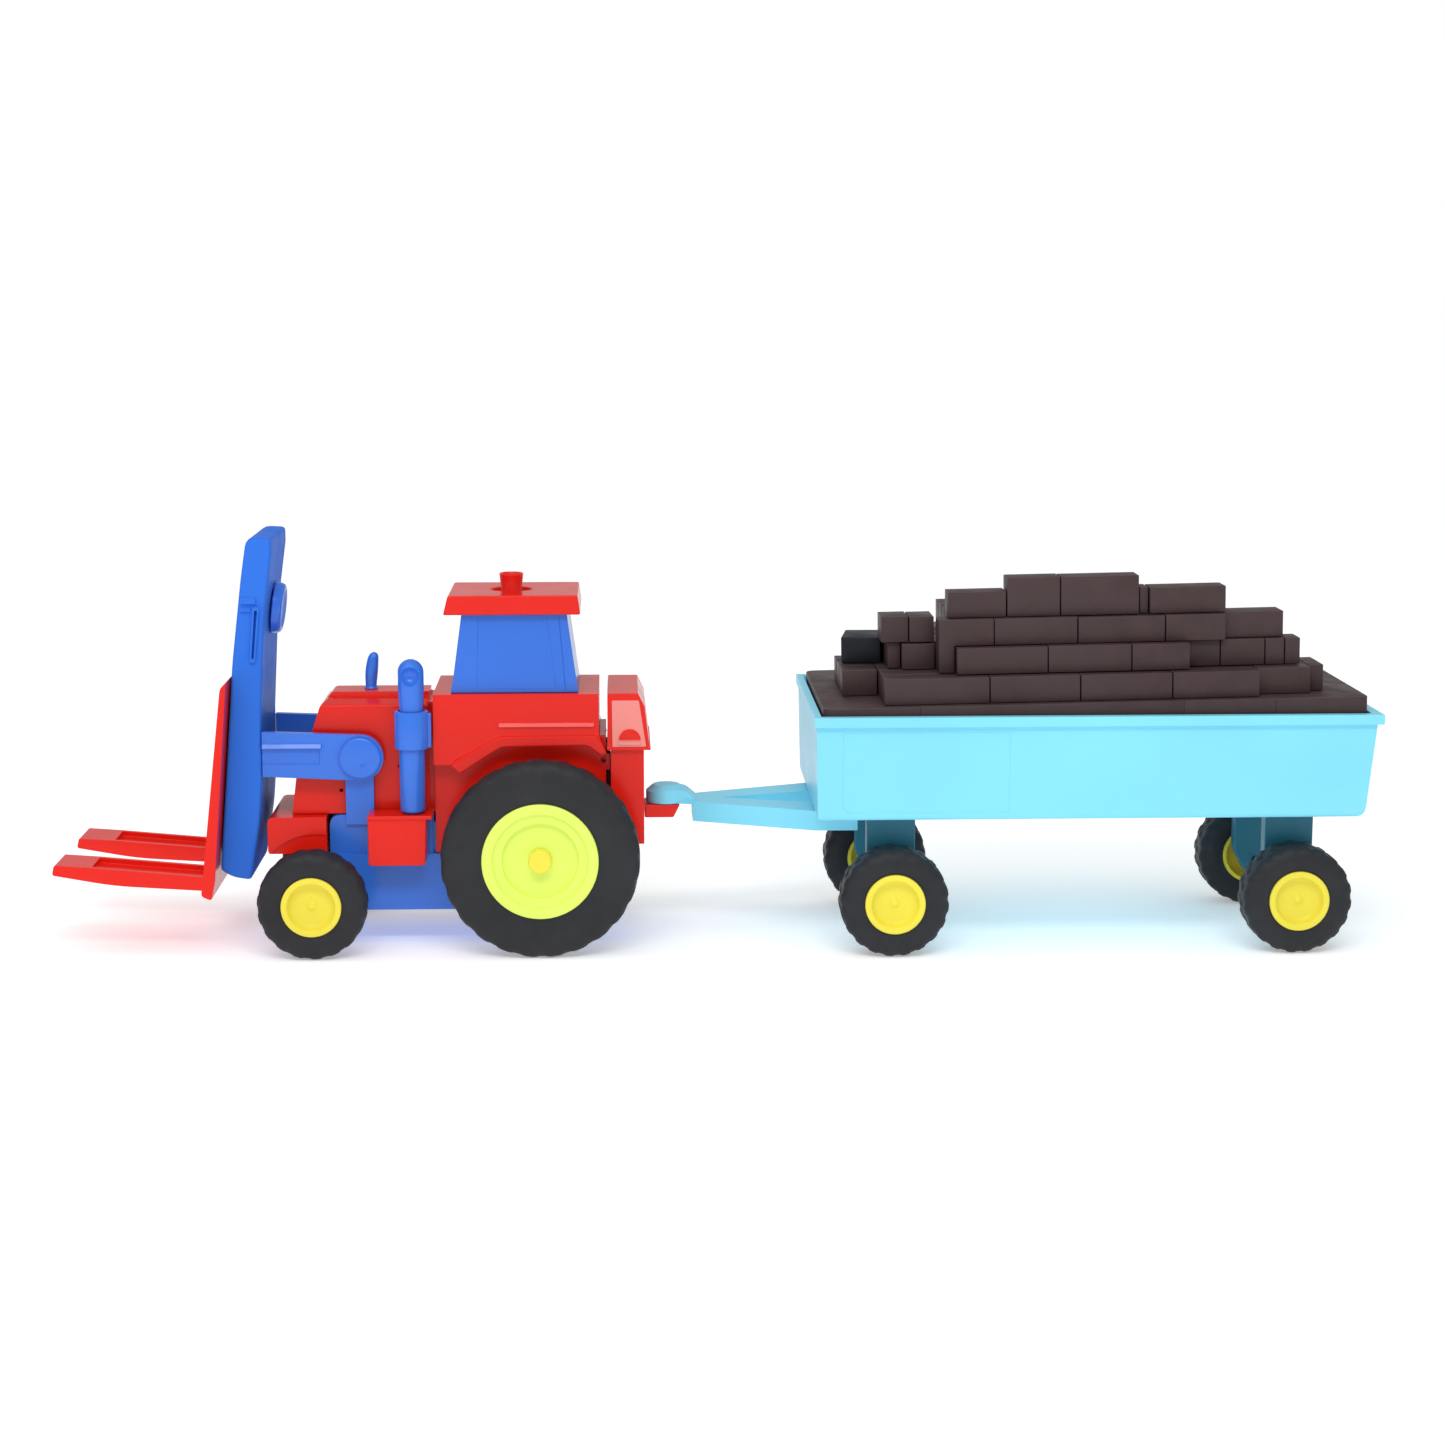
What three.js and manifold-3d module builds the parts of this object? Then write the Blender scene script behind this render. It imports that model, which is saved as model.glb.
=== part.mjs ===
// A moulded toy tractor with a fork loader in front and a trailer of bricks behind.
// Millimetres, +Z up. The tractor drives towards -Y and its left side faces +X.
// Lengths along Y are first measured from the rear axle, and the whole toy is
// centred on the origin at the end.
import * as THREE from 'three';
import { mergeVertices } from 'three/addons/utils/BufferGeometryUtils.js';
import Module from 'manifold-3d';

const manifold = await Module();
manifold.setup();

// ---------- driving dimensions ----------

const GAP = 0.3; // between neighbouring mouldings
const WALL = 2; // of every hollow moulding

const REAR_WHEEL = { radius: 44.5, width: 16, hub: 26, dish: 17, y: 0, outer: 54, sides: 40 };
const FRONT_WHEEL = { radius: 24.5, width: 16, hub: 13.4, dish: 10.5, y: -101.8, outer: 54, sides: 32 };
const TRAILER_WHEEL = { radius: 24.5, width: 20, hub: 13.5, dish: 10.8, outer: 58, sides: 32 };
const TRAILER_AXLES = { front: 158.2, rear: 340 };
const AXLE_RADIUS = 2;
const AXLE_CLEARANCE = 0.5;

const BODY_HALF = 29; // outer half width of the fenders
const WAIST_HALF = 22; // half width between the rear wheels
const HOOD_HALF = 20;
const HOOD_REAR = -51;
const BODY_FRONT = -48;
const BODY_REAR = 26.4;
const DECK_HEIGHT = 116;
const CHASSIS_TOP = 60;
const BELLY_TOP = 42;
const BELLY_BOTTOM = 16;

const PIVOT = { y: -81, z: 87.3 }; // of the loader arms
const ARM = { inner: 24.2, outer: 28, height: 20.8 };
const PIN_RADIUS = 4;
const MAST_HALF = 28;
const MAST_LEAN = 0.0835; // rearward travel for each millimetre of height
const MAST_FOOT = { y: -145, z: 36 }; // lower front corner
const FORK_HALF = 41;
const TINE = { width: 24, length: 67.4, thickness: 6.5, rise: 0.0905, ramp: 17.5, rib: 2.4 };

const HITCH = { y: 57, z: 61.3, eye: 9.3, pin: 3.2 };
const TUB = { front: 121.2, rear: 373.3, half: 65, rim: 110.3, floor: 63.1, lip: 4.4 };
const DRAWBAR = { top: 62.6, bottom: 53.6 };

const LOAD_TILT = 0.0185; // radians, rear end up
const LOAD = { front: 125.3, rear: 367.6, half: 57.8, top: 113, underside: 98.5 };
const BRICK = { height: 11.75, length: 17.6, depth: 14 };

// ---------- materials ----------

const plastic = (name, color, roughness = 0.32) =>
  new THREE.MeshStandardMaterial({ name, color, roughness, metalness: 0 });

const RED = () => plastic('red_plastic', 0xe6281c);
const BLUE = () => plastic('blue_plastic', 0x3f78dc);
const CYAN = () => plastic('cyan_plastic', 0x7fe0fb, 0.36);
const YELLOW = () => plastic('yellow_plastic', 0xf6e13c);
const LIME = () => plastic('lime_plastic', 0xdcf85a);
const TYRE = () => plastic('tyre_black', 0x36373b, 0.6);
const BROWN = () => plastic('brick_brown', 0x4c383a, 0.5);
const STEEL = () =>
  new THREE.MeshStandardMaterial({ name: 'steel', color: 0xb9bcc0, roughness: 0.3, metalness: 1 });

// ---------- solids ----------

const axis = (x, y, z) => new THREE.Vector3(x, y, z);
const ALONG_X = new THREE.Matrix4().makeBasis(axis(0, 1, 0), axis(0, 0, 1), axis(1, 0, 0));
const ALONG_Y = new THREE.Matrix4().makeBasis(axis(0, 0, 1), axis(1, 0, 0), axis(0, 1, 0));
const ALONG_Z = new THREE.Matrix4();

function toSolid(geometry) {
  geometry.deleteAttribute('normal');
  geometry.deleteAttribute('uv');
  const merged = mergeVertices(geometry, 1e-4);
  return new manifold.Manifold(new manifold.Mesh({
    numProp: 3,
    vertProperties: new Float32Array(merged.attributes.position.array),
    triVerts: new Uint32Array(merged.index.array),
  }));
}

function toGeometry(solid) {
  const mesh = solid.getMesh();
  const geometry = new THREE.BufferGeometry();
  geometry.setAttribute('position', new THREE.BufferAttribute(mesh.vertProperties, 3));
  geometry.setIndex(new THREE.BufferAttribute(mesh.triVerts, 1));
  geometry.computeVertexNormals();
  return geometry;
}

// A closed outline. Each corner is [across, up, set-back of its rounding].
function outline(corners) {
  const shape = new THREE.Shape();
  corners.forEach(([across, up, setBack = 0], i) => {
    const towards = ([a, b]) =>
      new THREE.Vector2(a - across, b - up).setLength(setBack).add(new THREE.Vector2(across, up));
    const enter = towards(corners.at(i - 1));
    const leave = towards(corners[(i + 1) % corners.length]);
    if (i === 0) shape.moveTo(enter.x, enter.y);
    else shape.lineTo(enter.x, enter.y);
    if (setBack > 0) shape.quadraticCurveTo(across, up, leave.x, leave.y);
  });
  shape.closePath();
  return shape;
}

function extruded(shape, from, to, direction) {
  const geometry = new THREE.ExtrudeGeometry(shape, {
    depth: to - from,
    bevelEnabled: false,
    curveSegments: 4,
  });
  geometry.translate(0, 0, from);
  geometry.applyMatrix4(direction);
  return toSolid(geometry);
}

function block(x0, x1, y0, y1, z0, z1) {
  const geometry = new THREE.BoxGeometry(x1 - x0, y1 - y0, z1 - z0);
  geometry.translate((x0 + x1) / 2, (y0 + y1) / 2, (z0 + z1) / 2);
  return toSolid(geometry);
}

// A cylinder along X between two planes, with flats facing up and down.
function rodX(radius, x0, x1, y, z, sides = 24) {
  const geometry = new THREE.CylinderGeometry(radius, radius, x1 - x0, sides, 1, false, Math.PI / sides);
  geometry.rotateZ(-Math.PI / 2);
  geometry.translate((x0 + x1) / 2, y, z);
  return toSolid(geometry);
}

function rodZ(radius, x, y, z0, z1, sides = 24, topRadius = radius) {
  const geometry = new THREE.CylinderGeometry(topRadius, radius, z1 - z0, sides);
  geometry.rotateX(Math.PI / 2);
  geometry.translate(x, y, (z0 + z1) / 2);
  return toSolid(geometry);
}

// A body of revolution about X. Profile points are [distance along X, radius].
// Its facets are centred on the four directions across the axle, so it stands flat.
function turned(profile, sides) {
  const stretch = 1 / Math.cos(Math.PI / sides);
  const points = profile.map(([along, radius]) => new THREE.Vector2(radius * stretch, along));
  const geometry = new THREE.LatheGeometry(points, sides, Math.PI / sides);
  geometry.rotateZ(-Math.PI / 2);
  return toSolid(geometry);
}

const both = (make) => make(1).add(make(-1));
const span = (side, near, far) => (side > 0 ? [near, far] : [-far, -near]);

// ---------- the scene graph ----------

const toy = new THREE.Group();
const load = new THREE.Group();

function piece(name, material, solid, parent = toy) {
  const mesh = new THREE.Mesh(toGeometry(solid), material);
  mesh.name = name;
  parent.add(mesh);
  return mesh;
}

const SIDES = [['left', 1], ['right', -1]];

// ---------- wheels ----------

// Half of a tyre's section, out at +X. The shoulders are rounded off in two steps.
function tyre({ radius, width, hub, sides }) {
  const bore = hub + GAP;
  return turned([
    [0, bore], [0, radius - 5], [1, radius - 1.6], [3.2, radius],
    [width - 3.2, radius], [width - 1, radius - 1.6], [width, radius - 5], [width, bore], [0, bore],
  ], sides);
}

// A dished hub with a blind bore for the axle in a boss on its inner side.
function hub({ width, hub: radius, dish }, boreDepth) {
  const bore = AXLE_RADIUS + GAP;
  return turned([
    [boreDepth, 0], [boreDepth, bore], [0.5, bore], [0.5, bore + 2.5], [width - 8, bore + 2.5],
    [width - 8, radius - 2.2], [1, radius - 2.2], [1, radius], [width + 0.4, radius],
    [width + 0.4, radius - 2], [width - 1.6, dish + 0.6], [width - 4.4, dish], [width - 4.4, 0],
  ], 28);
}

function wheelset(prefix, wheel, y) {
  const boreDepth = wheel.width - 6.5;
  const inner = wheel.outer - wheel.width;
  const reach = inner + boreDepth - GAP;
  const axle = piece(`${prefix}_axle`, STEEL(), rodX(AXLE_RADIUS, -reach, reach, 0, 0, 16));
  axle.position.set(0, y, wheel.radius);
  for (const [name, side] of SIDES) {
    const turn = side > 0 ? 0 : Math.PI;
    const rubber = piece(`${prefix}_tyre_${name}`, TYRE(), tyre(wheel));
    const dished = piece(`${prefix}_hub_${name}`, wheel === REAR_WHEEL ? LIME() : YELLOW(),
      hub(wheel, boreDepth));
    for (const part of [rubber, dished]) {
      part.position.set(side * inner, y, wheel.radius);
      part.rotation.z = turn;
    }
  }
}

wheelset('front', FRONT_WHEEL, FRONT_WHEEL.y);
wheelset('rear', REAR_WHEEL, REAR_WHEEL.y);
wheelset('trailer_front', TRAILER_WHEEL, TRAILER_AXLES.front);
wheelset('trailer_rear', TRAILER_WHEEL, TRAILER_AXLES.rear);

// The rear hubs have a round centre cap of their own.
const CAP = { radius: 5.2, length: 5.5 };
for (const [name, side] of SIDES) {
  const dishFloor = REAR_WHEEL.outer - 4.4 + GAP;
  const [x0, x1] = span(side, dishFloor, dishFloor + CAP.length);
  piece(`rear_cap_${name}`, YELLOW(), rodX(CAP.radius, x0, x1, REAR_WHEEL.y, REAR_WHEEL.radius));
}

const axleBore = (wheel, y, half) =>
  rodX(AXLE_RADIUS + AXLE_CLEARANCE, -half, half, y, wheel.radius, 16);

// ---------- chassis ----------

const belly = extruded(outline([
  [-113, BELLY_TOP, 2], [-113, 22], [-107, BELLY_BOTTOM], [24, BELLY_BOTTOM, 6], [34, 27], [34, BELLY_TOP],
]), -23, 23, ALONG_X);
const beam = extruded(outline([
  [-96, BELLY_TOP - 1], [-96, CHASSIS_TOP, 5], [-49, CHASSIS_TOP], [-49, 56], [27, 56], [27, BELLY_TOP - 1],
]), -WAIST_HALF + WALL + GAP, WAIST_HALF - WALL - GAP, ALONG_X);
const shoulders = extruded(outline([
  [-96, BELLY_TOP - 1], [-96, CHASSIS_TOP, 5], [-49.5, CHASSIS_TOP], [-49.5, BELLY_TOP - 1],
]), -WAIST_HALF, WAIST_HALF, ALONG_X);

// One post on each side carries the loader pivot beside the hood.
const POST = { inner: HOOD_HALF + GAP, outer: ARM.inner - GAP, front: -88.2, rear: -75.6, top: 95 };
const posts = both((side) => extruded(outline([
  [POST.front, CHASSIS_TOP - 4], [POST.front, POST.top, 5], [POST.rear, POST.top, 5],
  [POST.rear, CHASSIS_TOP - 4],
]), ...span(side, POST.inner, POST.outer), ALONG_X));

piece('chassis', BLUE(), belly.add(beam).add(shoulders).add(posts)
  .subtract(axleBore(FRONT_WHEEL, FRONT_WHEEL.y, 40))
  .subtract(axleBore(REAR_WHEEL, REAR_WHEEL.y, 40))
  .subtract(rodX(PIN_RADIUS + 2 * GAP, -40, 40, PIVOT.y, PIVOT.z, 20)));

// ---------- front weight ----------

piece('front_weight', RED(), extruded(outline([
  [-123.5, CHASSIS_TOP, 3], [-123.5, 43, 2], [-97, 43], [-97, CHASSIS_TOP],
]), -27, 27, ALONG_X));

// ---------- hood ----------

const GRILLE = [[-113, CHASSIS_TOP + GAP], [-110.8, 76.8], [-103, 98.5], [-99.3, 110, 1.5]];
const hoodSide = [...GRILLE, [-96, 112.4], [HOOD_REAR, 112.4], [HOOD_REAR, CHASSIS_TOP + GAP]];
const hoodSection = (half, top) => [
  [CHASSIS_TOP - 5, half], [top - 2.4, half, 1], [top, half - 9], [top, -half + 9],
  [top - 2.4, -half, 1], [CHASSIS_TOP - 5, -half],
];
const hoodOuter = extruded(outline(hoodSide), -HOOD_HALF, HOOD_HALF, ALONG_X)
  .intersect(extruded(outline(hoodSection(HOOD_HALF, 112.4)), -120, -40, ALONG_Y));
const hoodPanel = extruded(outline([
  [-97, 112], [-95, 114.6, 1.5], [HOOD_REAR, 114.6], [HOOD_REAR, 112],
]), -9, 9, ALONG_X);
const hoodInner = hoodOuter.translate([0, 0, -WALL])
  .intersect(block(-HOOD_HALF + WALL, HOOD_HALF - WALL, -108, HOOD_REAR - WALL, 50, 120));
// A narrower web closes the gap to the body.
const hoodWeb = block(-17.5, 17.5, HOOD_REAR - 1, BODY_FRONT - GAP, CHASSIS_TOP + 0.5, 111);
piece('hood', RED(), hoodOuter.add(hoodPanel).add(hoodWeb)
  .subtract(hoodInner)
  .subtract(block(-HOOD_HALF + WALL, HOOD_HALF - WALL, -108, HOOD_REAR - WALL, 50, 70)));

// The slim pipe stands on the hood and leans a little.
const SLIM_PIPE = { y: -77.5, z: 114.6, height: 17, radius: 2.7 };
const slimPipe = rodZ(SLIM_PIPE.radius, 0, 0, GAP, SLIM_PIPE.height, 12)
  .add(rodZ(SLIM_PIPE.radius + 1, 0, 0, GAP, 1.6, 12));
piece('hood_pipe', BLUE(), slimPipe).position.set(0, SLIM_PIPE.y, SLIM_PIPE.z);

// ---------- body, cab and roof ----------

const ARCH = [[-40, 84], [-36.5, 80.5], [-17.5, 92.5, 2], [21, 93, 2], [27, 88.5]];
const fenders = extruded(outline([
  [BODY_FRONT, DECK_HEIGHT], [BODY_FRONT, 84], ...ARCH, [29.4, 89], [BODY_REAR, 97], [BODY_REAR, DECK_HEIGHT],
]), -BODY_HALF, BODY_HALF, ALONG_X);
const waist = block(-WAIST_HALF, WAIST_HALF, BODY_FRONT, 29.4, BELLY_TOP + GAP, 96);
const bodyCavity = block(-WAIST_HALF + WALL, WAIST_HALF - WALL, BODY_FRONT + WALL, 29.4 - WALL, 40, 88)
  .add(block(-WAIST_HALF + WALL, WAIST_HALF - WALL, BODY_FRONT - 1, 0, 40, 56 + GAP))
  .add(block(-WAIST_HALF + WALL, WAIST_HALF - WALL, BODY_FRONT + WALL, BODY_REAR - WALL, 80,
    DECK_HEIGHT - WALL));
piece('body_shell', RED(), fenders.add(waist).subtract(bodyCavity)
  .subtract(rodX(AXLE_RADIUS + 2, -60, 60, REAR_WHEEL.y, REAR_WHEEL.radius, 16)));

const CAB = { front: -40.2, rear: 17.2, half: 25, topFront: -35, topRear: 12.3, topHalf: 23 };
const cabSide = (shrink, bottom, top) => outline([
  [CAB.front + shrink, bottom], [CAB.front + 1.4 + shrink, 123.7], [CAB.topFront + shrink, top],
  [CAB.topRear - shrink, top], [CAB.rear - shrink, bottom],
]);
const cabEnd = (shrink, bottom, top) => outline([
  [bottom, CAB.half - shrink], [top, CAB.topHalf - shrink],
  [top, -CAB.topHalf + shrink], [bottom, -CAB.half + shrink],
]);
const cabForm = (shrink, bottom, top) =>
  extruded(cabSide(shrink, bottom, top), -40, 40, ALONG_X)
    .intersect(extruded(cabEnd(shrink, bottom, top), -60, 40, ALONG_Y));
const CAB_TOP = 151.2;
piece('cab', BLUE(), cabForm(0, DECK_HEIGHT + GAP, CAB_TOP)
  .subtract(cabForm(WALL, DECK_HEIGHT - 2, CAB_TOP - WALL)));

const ROOF = { front: -43, rear: 18.4, half: 26.5, top: 160.2 };
const roofSide = outline([
  [ROOF.front, CAB_TOP + GAP], [ROOF.front + 2.2, ROOF.top, 1], [ROOF.rear - 1.2, ROOF.top, 1],
  [ROOF.rear, CAB_TOP + GAP],
]);
const BEACON = { y: -13.2, radius: 5.5, top: 167.6, recess: 9.4 };
piece('roof', RED(), extruded(roofSide, -ROOF.half, ROOF.half, ALONG_X)
  .subtract(rodZ(BEACON.recess, 0, BEACON.y, ROOF.top - 2, ROOF.top + 2)));
piece('beacon', RED(), rodZ(BEACON.radius, 0, BEACON.y, ROOF.top - 2 + GAP, BEACON.top));

// ---------- steps and the left air stack ----------

for (const [name, side] of SIDES) {
  const boxSpan = span(side, POST.outer + GAP, 37);
  const treadSpan = span(side, WAIST_HALF + GAP, 38);
  piece(`step_box_${name}`, RED(), extruded(outline([
    [-77.5, 61], [-77.5, 39.5, 1.5], [-52, 39.5, 1.5], [-51.2, 61],
  ]), ...boxSpan, ALONG_X)
    .add(block(...treadSpan, POST.rear + GAP, -48.6, 60.8, 62.5))
    .add(block(...span(side, POST.outer + GAP, 38), -77.5, -70, 60.8, 62.5)));
}

const STACK = { x: 30.5, y: -57.5, radius: 5.8, foot: 62.5, top: 132.5 };
const COLLAR = { bottom: 92, top: 109.2, wall: 1.9 };
const mouth = rodX(STACK.radius + 0.2, STACK.x - 8, STACK.x + 8, 0, 0)
  .scale([1, 1, 1.15]).translate([6.2, STACK.y, 121.5]);
piece('air_stack', BLUE(), rodZ(STACK.radius, STACK.x, STACK.y, STACK.foot + GAP, STACK.top, 20)
  .subtract(mouth.intersect(block(STACK.x + 1.2, 60, -80, -40, 100, 127))));
const collarRing = rodZ(STACK.radius + COLLAR.wall, STACK.x, STACK.y, COLLAR.bottom, COLLAR.top, 20);
piece('air_stack_collar', BLUE(), collarRing
  .add(block(STACK.x - 2, STACK.x + 2, STACK.y + 5, STACK.y + 8.8, COLLAR.bottom, COLLAR.top - 1.5))
  .subtract(rodZ(STACK.radius + GAP, STACK.x, STACK.y, 80, 120, 20)));

// ---------- tail box, tow plate and hitch pin ----------

const TAIL = { front: 30.2, rear: 47, half: 28, bottom: 46.5, lip: 91 };
const tailLower = block(-TAIL.half + 1.4, TAIL.half - 1.4, TAIL.front + 1.4, TAIL.rear - 0.4,
  TAIL.bottom, 100);
const tailUpper = extruded(outline([
  [TAIL.front, TAIL.lip], [TAIL.front, DECK_HEIGHT, 1], [44, DECK_HEIGHT], [47, 110], [49.2, TAIL.lip],
]), -TAIL.half, TAIL.half, ALONG_X);
const tailCavity = block(-TAIL.half + 3.4, TAIL.half - 3.4, TAIL.front + 3.4, TAIL.rear - 2.4, 40, 108);
piece('tail_box', RED(), tailLower.add(tailUpper).subtract(tailCavity));

piece('tow_plate', RED(), extruded(outline([
  [TAIL.rear - 0.4 + GAP, 55], [TAIL.rear - 0.4 + GAP, HITCH.z - GAP], [63.2, HITCH.z - GAP], [60.2, 55],
]), -9, 9, ALONG_X));
piece('hitch_pin', RED(), rodZ(HITCH.pin, 0, HITCH.y, HITCH.z, 67));

// ---------- loader: arms, pivot pins, mast and grip ----------

const MAST_REAR = -125.2; // where the arms meet the mast, at arm height
for (const [name, side] of SIDES) {
  const radius = ARM.height / 2;
  const shape = new THREE.Shape();
  shape.moveTo(MAST_REAR + GAP, PIVOT.z - radius + 2);
  shape.lineTo(PIVOT.y, PIVOT.z - radius);
  shape.absarc(PIVOT.y, PIVOT.z, radius, -Math.PI / 2, Math.PI / 2, false);
  shape.lineTo(MAST_REAR + GAP, PIVOT.z + radius + 1.6);
  shape.closePath();
  const geometry = new THREE.ExtrudeGeometry(shape, {
    depth: ARM.outer - ARM.inner,
    bevelEnabled: false,
    curveSegments: 10,
  });
  geometry.translate(0, 0, side > 0 ? ARM.inner : -ARM.outer);
  geometry.applyMatrix4(ALONG_X);
  const pinHole = rodX(PIN_RADIUS + GAP, -60, 60, PIVOT.y, PIVOT.z, 20);
  piece(`loader_arm_${name}`, BLUE(), toSolid(geometry).subtract(pinHole));

  const shank = span(side, POST.inner + 0.4, ARM.outer + 1);
  const head = span(side, ARM.outer + GAP, ARM.outer + 2.2);
  piece(`pivot_pin_${name}`, BLUE(), rodX(PIN_RADIUS, ...shank, PIVOT.y, PIVOT.z, 20)
    .add(rodX(9.4, ...head, PIVOT.y, PIVOT.z)));
}

const mastFront = (z) => MAST_FOOT.y + (z - MAST_FOOT.z) * MAST_LEAN;
const mastSide = outline([
  [MAST_FOOT.y, MAST_FOOT.z, 2], [mastFront(130), 130, 6], [-132.4, 168, 8], [-129.4, 187, 4.5],
  [-118.3, 186.5, 2], [-118.3, 180], [-122.4, 151, 6], [MAST_REAR, 103], [MAST_REAR, 77],
  [-126.8, 57.6, 4], [-131.2, 31.4, 2], [-139.4, 32.6, 3],
]);
const channel = outline([
  [mastFront(20) - 6, 20], [mastFront(20) + 6, 20], [mastFront(178) + 6, 178], [mastFront(178) - 8, 178],
]);
const CHANNEL_HALF = 20;
piece('mast', BLUE(), extruded(mastSide, -MAST_HALF, MAST_HALF, ALONG_X)
  .subtract(extruded(channel, -CHANNEL_HALF, CHANNEL_HALF, ALONG_X)));

const GRIP = { y: -118.9, z: 152, radius: 12, length: 4.4, tilt: -0.118 };
const gripForm = toSolid(new THREE.CylinderGeometry(GRIP.radius - 1, GRIP.radius, GRIP.length, 24));
const grip = piece('mast_grip', BLUE(), gripForm);
grip.position.set(0, GRIP.y, GRIP.z);
grip.rotation.x = GRIP.tilt;

// ---------- fork carriage ----------

const SLAB = { thickness: 2.8, top: 123, foot: 25, gap: 0.5, spread: 0.0295 };
const slabRear = (z) => mastFront(z) - SLAB.gap;
const slabFront = (z) => slabRear(z) - SLAB.thickness - (SLAB.top - z) * SLAB.spread;
const slab = extruded(outline([
  [slabRear(SLAB.top), SLAB.top + 1], [slabFront(SLAB.top), SLAB.top - 2, 1.5],
  [slabFront(SLAB.foot), SLAB.foot + 2, 1.5], [slabRear(SLAB.foot) - 1, SLAB.foot, 1.5],
  [slabRear(34), 34],
]), -FORK_HALF, FORK_HALF, ALONG_X);
const runner = extruded(outline([
  [slabRear(112) - 1, 112], [slabRear(50) - 1, 50], [slabRear(50) + 4.6, 50], [slabRear(112) + 4.6, 112],
]), -CHANNEL_HALF + 0.7, CHANNEL_HALF - 0.7, ALONG_X);

const HEEL = { z: 29.6 };
HEEL.y = slabFront(HEEL.z) + 1;
const TIP = HEEL.y - TINE.length;
const RAMP = TIP + TINE.ramp;
const tineTop = (y) => HEEL.z + TINE.thickness + (HEEL.y - y) * TINE.rise;
const tineOutline = outline([
  [HEEL.y, HEEL.z], [HEEL.y - 40, HEEL.z + 2.6, 9], [TIP, tineTop(TIP) - 5, 1.2],
  [TIP + 1, tineTop(TIP) - 0.4, 1], [RAMP, tineTop(RAMP)], [HEEL.y, tineTop(HEEL.y)],
]);
// The channel between the ribs runs from the heel to the foot of the ramp at the tip.
const channelFloor = (y) => tineTop(y) - TINE.rib;
const tineChannel = outline([
  [HEEL.y - 0.9, channelFloor(HEEL.y)], [RAMP, channelFloor(RAMP)],
  [RAMP, tineTop(RAMP) + 3], [HEEL.y - 0.9, tineTop(HEEL.y) + 3],
]);
const tines = both((side) => extruded(tineOutline, ...span(side, FORK_HALF - TINE.width, FORK_HALF), ALONG_X)
  .subtract(extruded(tineChannel,
    ...span(side, FORK_HALF - TINE.width + TINE.rib, FORK_HALF - TINE.rib), ALONG_X)));
piece('fork_carriage', RED(), slab.add(runner).add(tines));

// ---------- trailer ----------

// The tub narrows towards its floor. Its rim carries a lip that turns outwards.
function tubForm(inset, bottom, top) {
  const side = outline([
    [TUB.front + 1.8 + inset, bottom, 3], [TUB.front + 0.9 + inset, top],
    [TUB.rear - 2 - inset, top], [TUB.rear - 6 - inset, bottom, 5],
  ]);
  const end = outline([
    [bottom, TUB.half - 5 - inset, 3], [top, TUB.half - 2 - inset],
    [top, -TUB.half + 2 + inset], [bottom, -TUB.half + 5 + inset, 3],
  ]);
  return extruded(side, -80, 80, ALONG_X).intersect(extruded(end, 100, 400, ALONG_Y));
}
const lip = block(-TUB.half, TUB.half, TUB.front, TUB.rear, TUB.rim - TUB.lip, TUB.rim);
piece('trailer_tub', CYAN(), tubForm(0, TUB.floor, TUB.rim).add(lip)
  .subtract(tubForm(2.2, TUB.floor + 2.4, TUB.rim + 5)));

const drawbarPlan = outline([
  [8.2, HITCH.y + 4.5], [10.5, 69], [34, 124], [34, 143], [-34, 143], [-34, 124], [-10.5, 69],
  [-8.2, HITCH.y + 4.5],
]);
const triangle = outline([[0, 82.5], [14, 124], [14, 137], [-14, 137], [-14, 124]]);
const arms = extruded(drawbarPlan, DRAWBAR.bottom, DRAWBAR.top, ALONG_Z)
  .subtract(extruded(triangle, 40, 80, ALONG_Z))
  .subtract(block(-40, 40, 40, 69, 40, HITCH.z + 0.1));
const neck = extruded(outline([
  [HITCH.y, HITCH.z], [HITCH.y, 68.4], [66, 67.2, 2], [72, DRAWBAR.top - 0.5], [70, HITCH.z],
]), -8.2, 8.2, ALONG_X);
const eye = rodZ(HITCH.eye, 0, HITCH.y, HITCH.z, 66.5)
  .add(rodZ(HITCH.eye, 0, HITCH.y, 66.5, 69.2, 24, HITCH.eye - 3.2));
piece('drawbar', CYAN(), arms.add(neck).add(eye)
  .subtract(rodZ(HITCH.pin + 0.5, 0, HITCH.y, HITCH.z - 4, 67.5)));

const BRACKET = { half: 11, legInner: 26, legOuter: 34, foot: 18 };
for (const [name, y] of Object.entries(TRAILER_AXLES)) {
  const plate = block(-BRACKET.legOuter, BRACKET.legOuter, y - BRACKET.half, y + BRACKET.half, 59,
    TUB.floor - GAP);
  const legs = both((side) => extruded(outline([
    [y - BRACKET.half, 60], [y - BRACKET.half, 30, 3], [y - 5, BRACKET.foot, 3], [y + 5, BRACKET.foot, 3],
    [y + BRACKET.half, 30, 3], [y + BRACKET.half, 60],
  ]), ...span(side, BRACKET.legInner, BRACKET.legOuter), ALONG_X));
  piece(`trailer_bracket_${name}`, CYAN(), plate.add(legs).subtract(axleBore(TRAILER_WHEEL, y, 50)));
}

// ---------- load of bricks ----------

// Heights and lengths here are measured from the front edge of the base's top. The base
// jams between the tub's tapering end walls, a little higher at the rear.
const length = LOAD.rear - LOAD.front;
piece('load_base', BROWN(), extruded(outline([
  [LOAD.half, 0, 5], [LOAD.half, length, 3], [-LOAD.half, length, 3], [-LOAD.half, 0, 5],
]), LOAD.underside - LOAD.top, 0, ALONG_Z), load);

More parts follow.
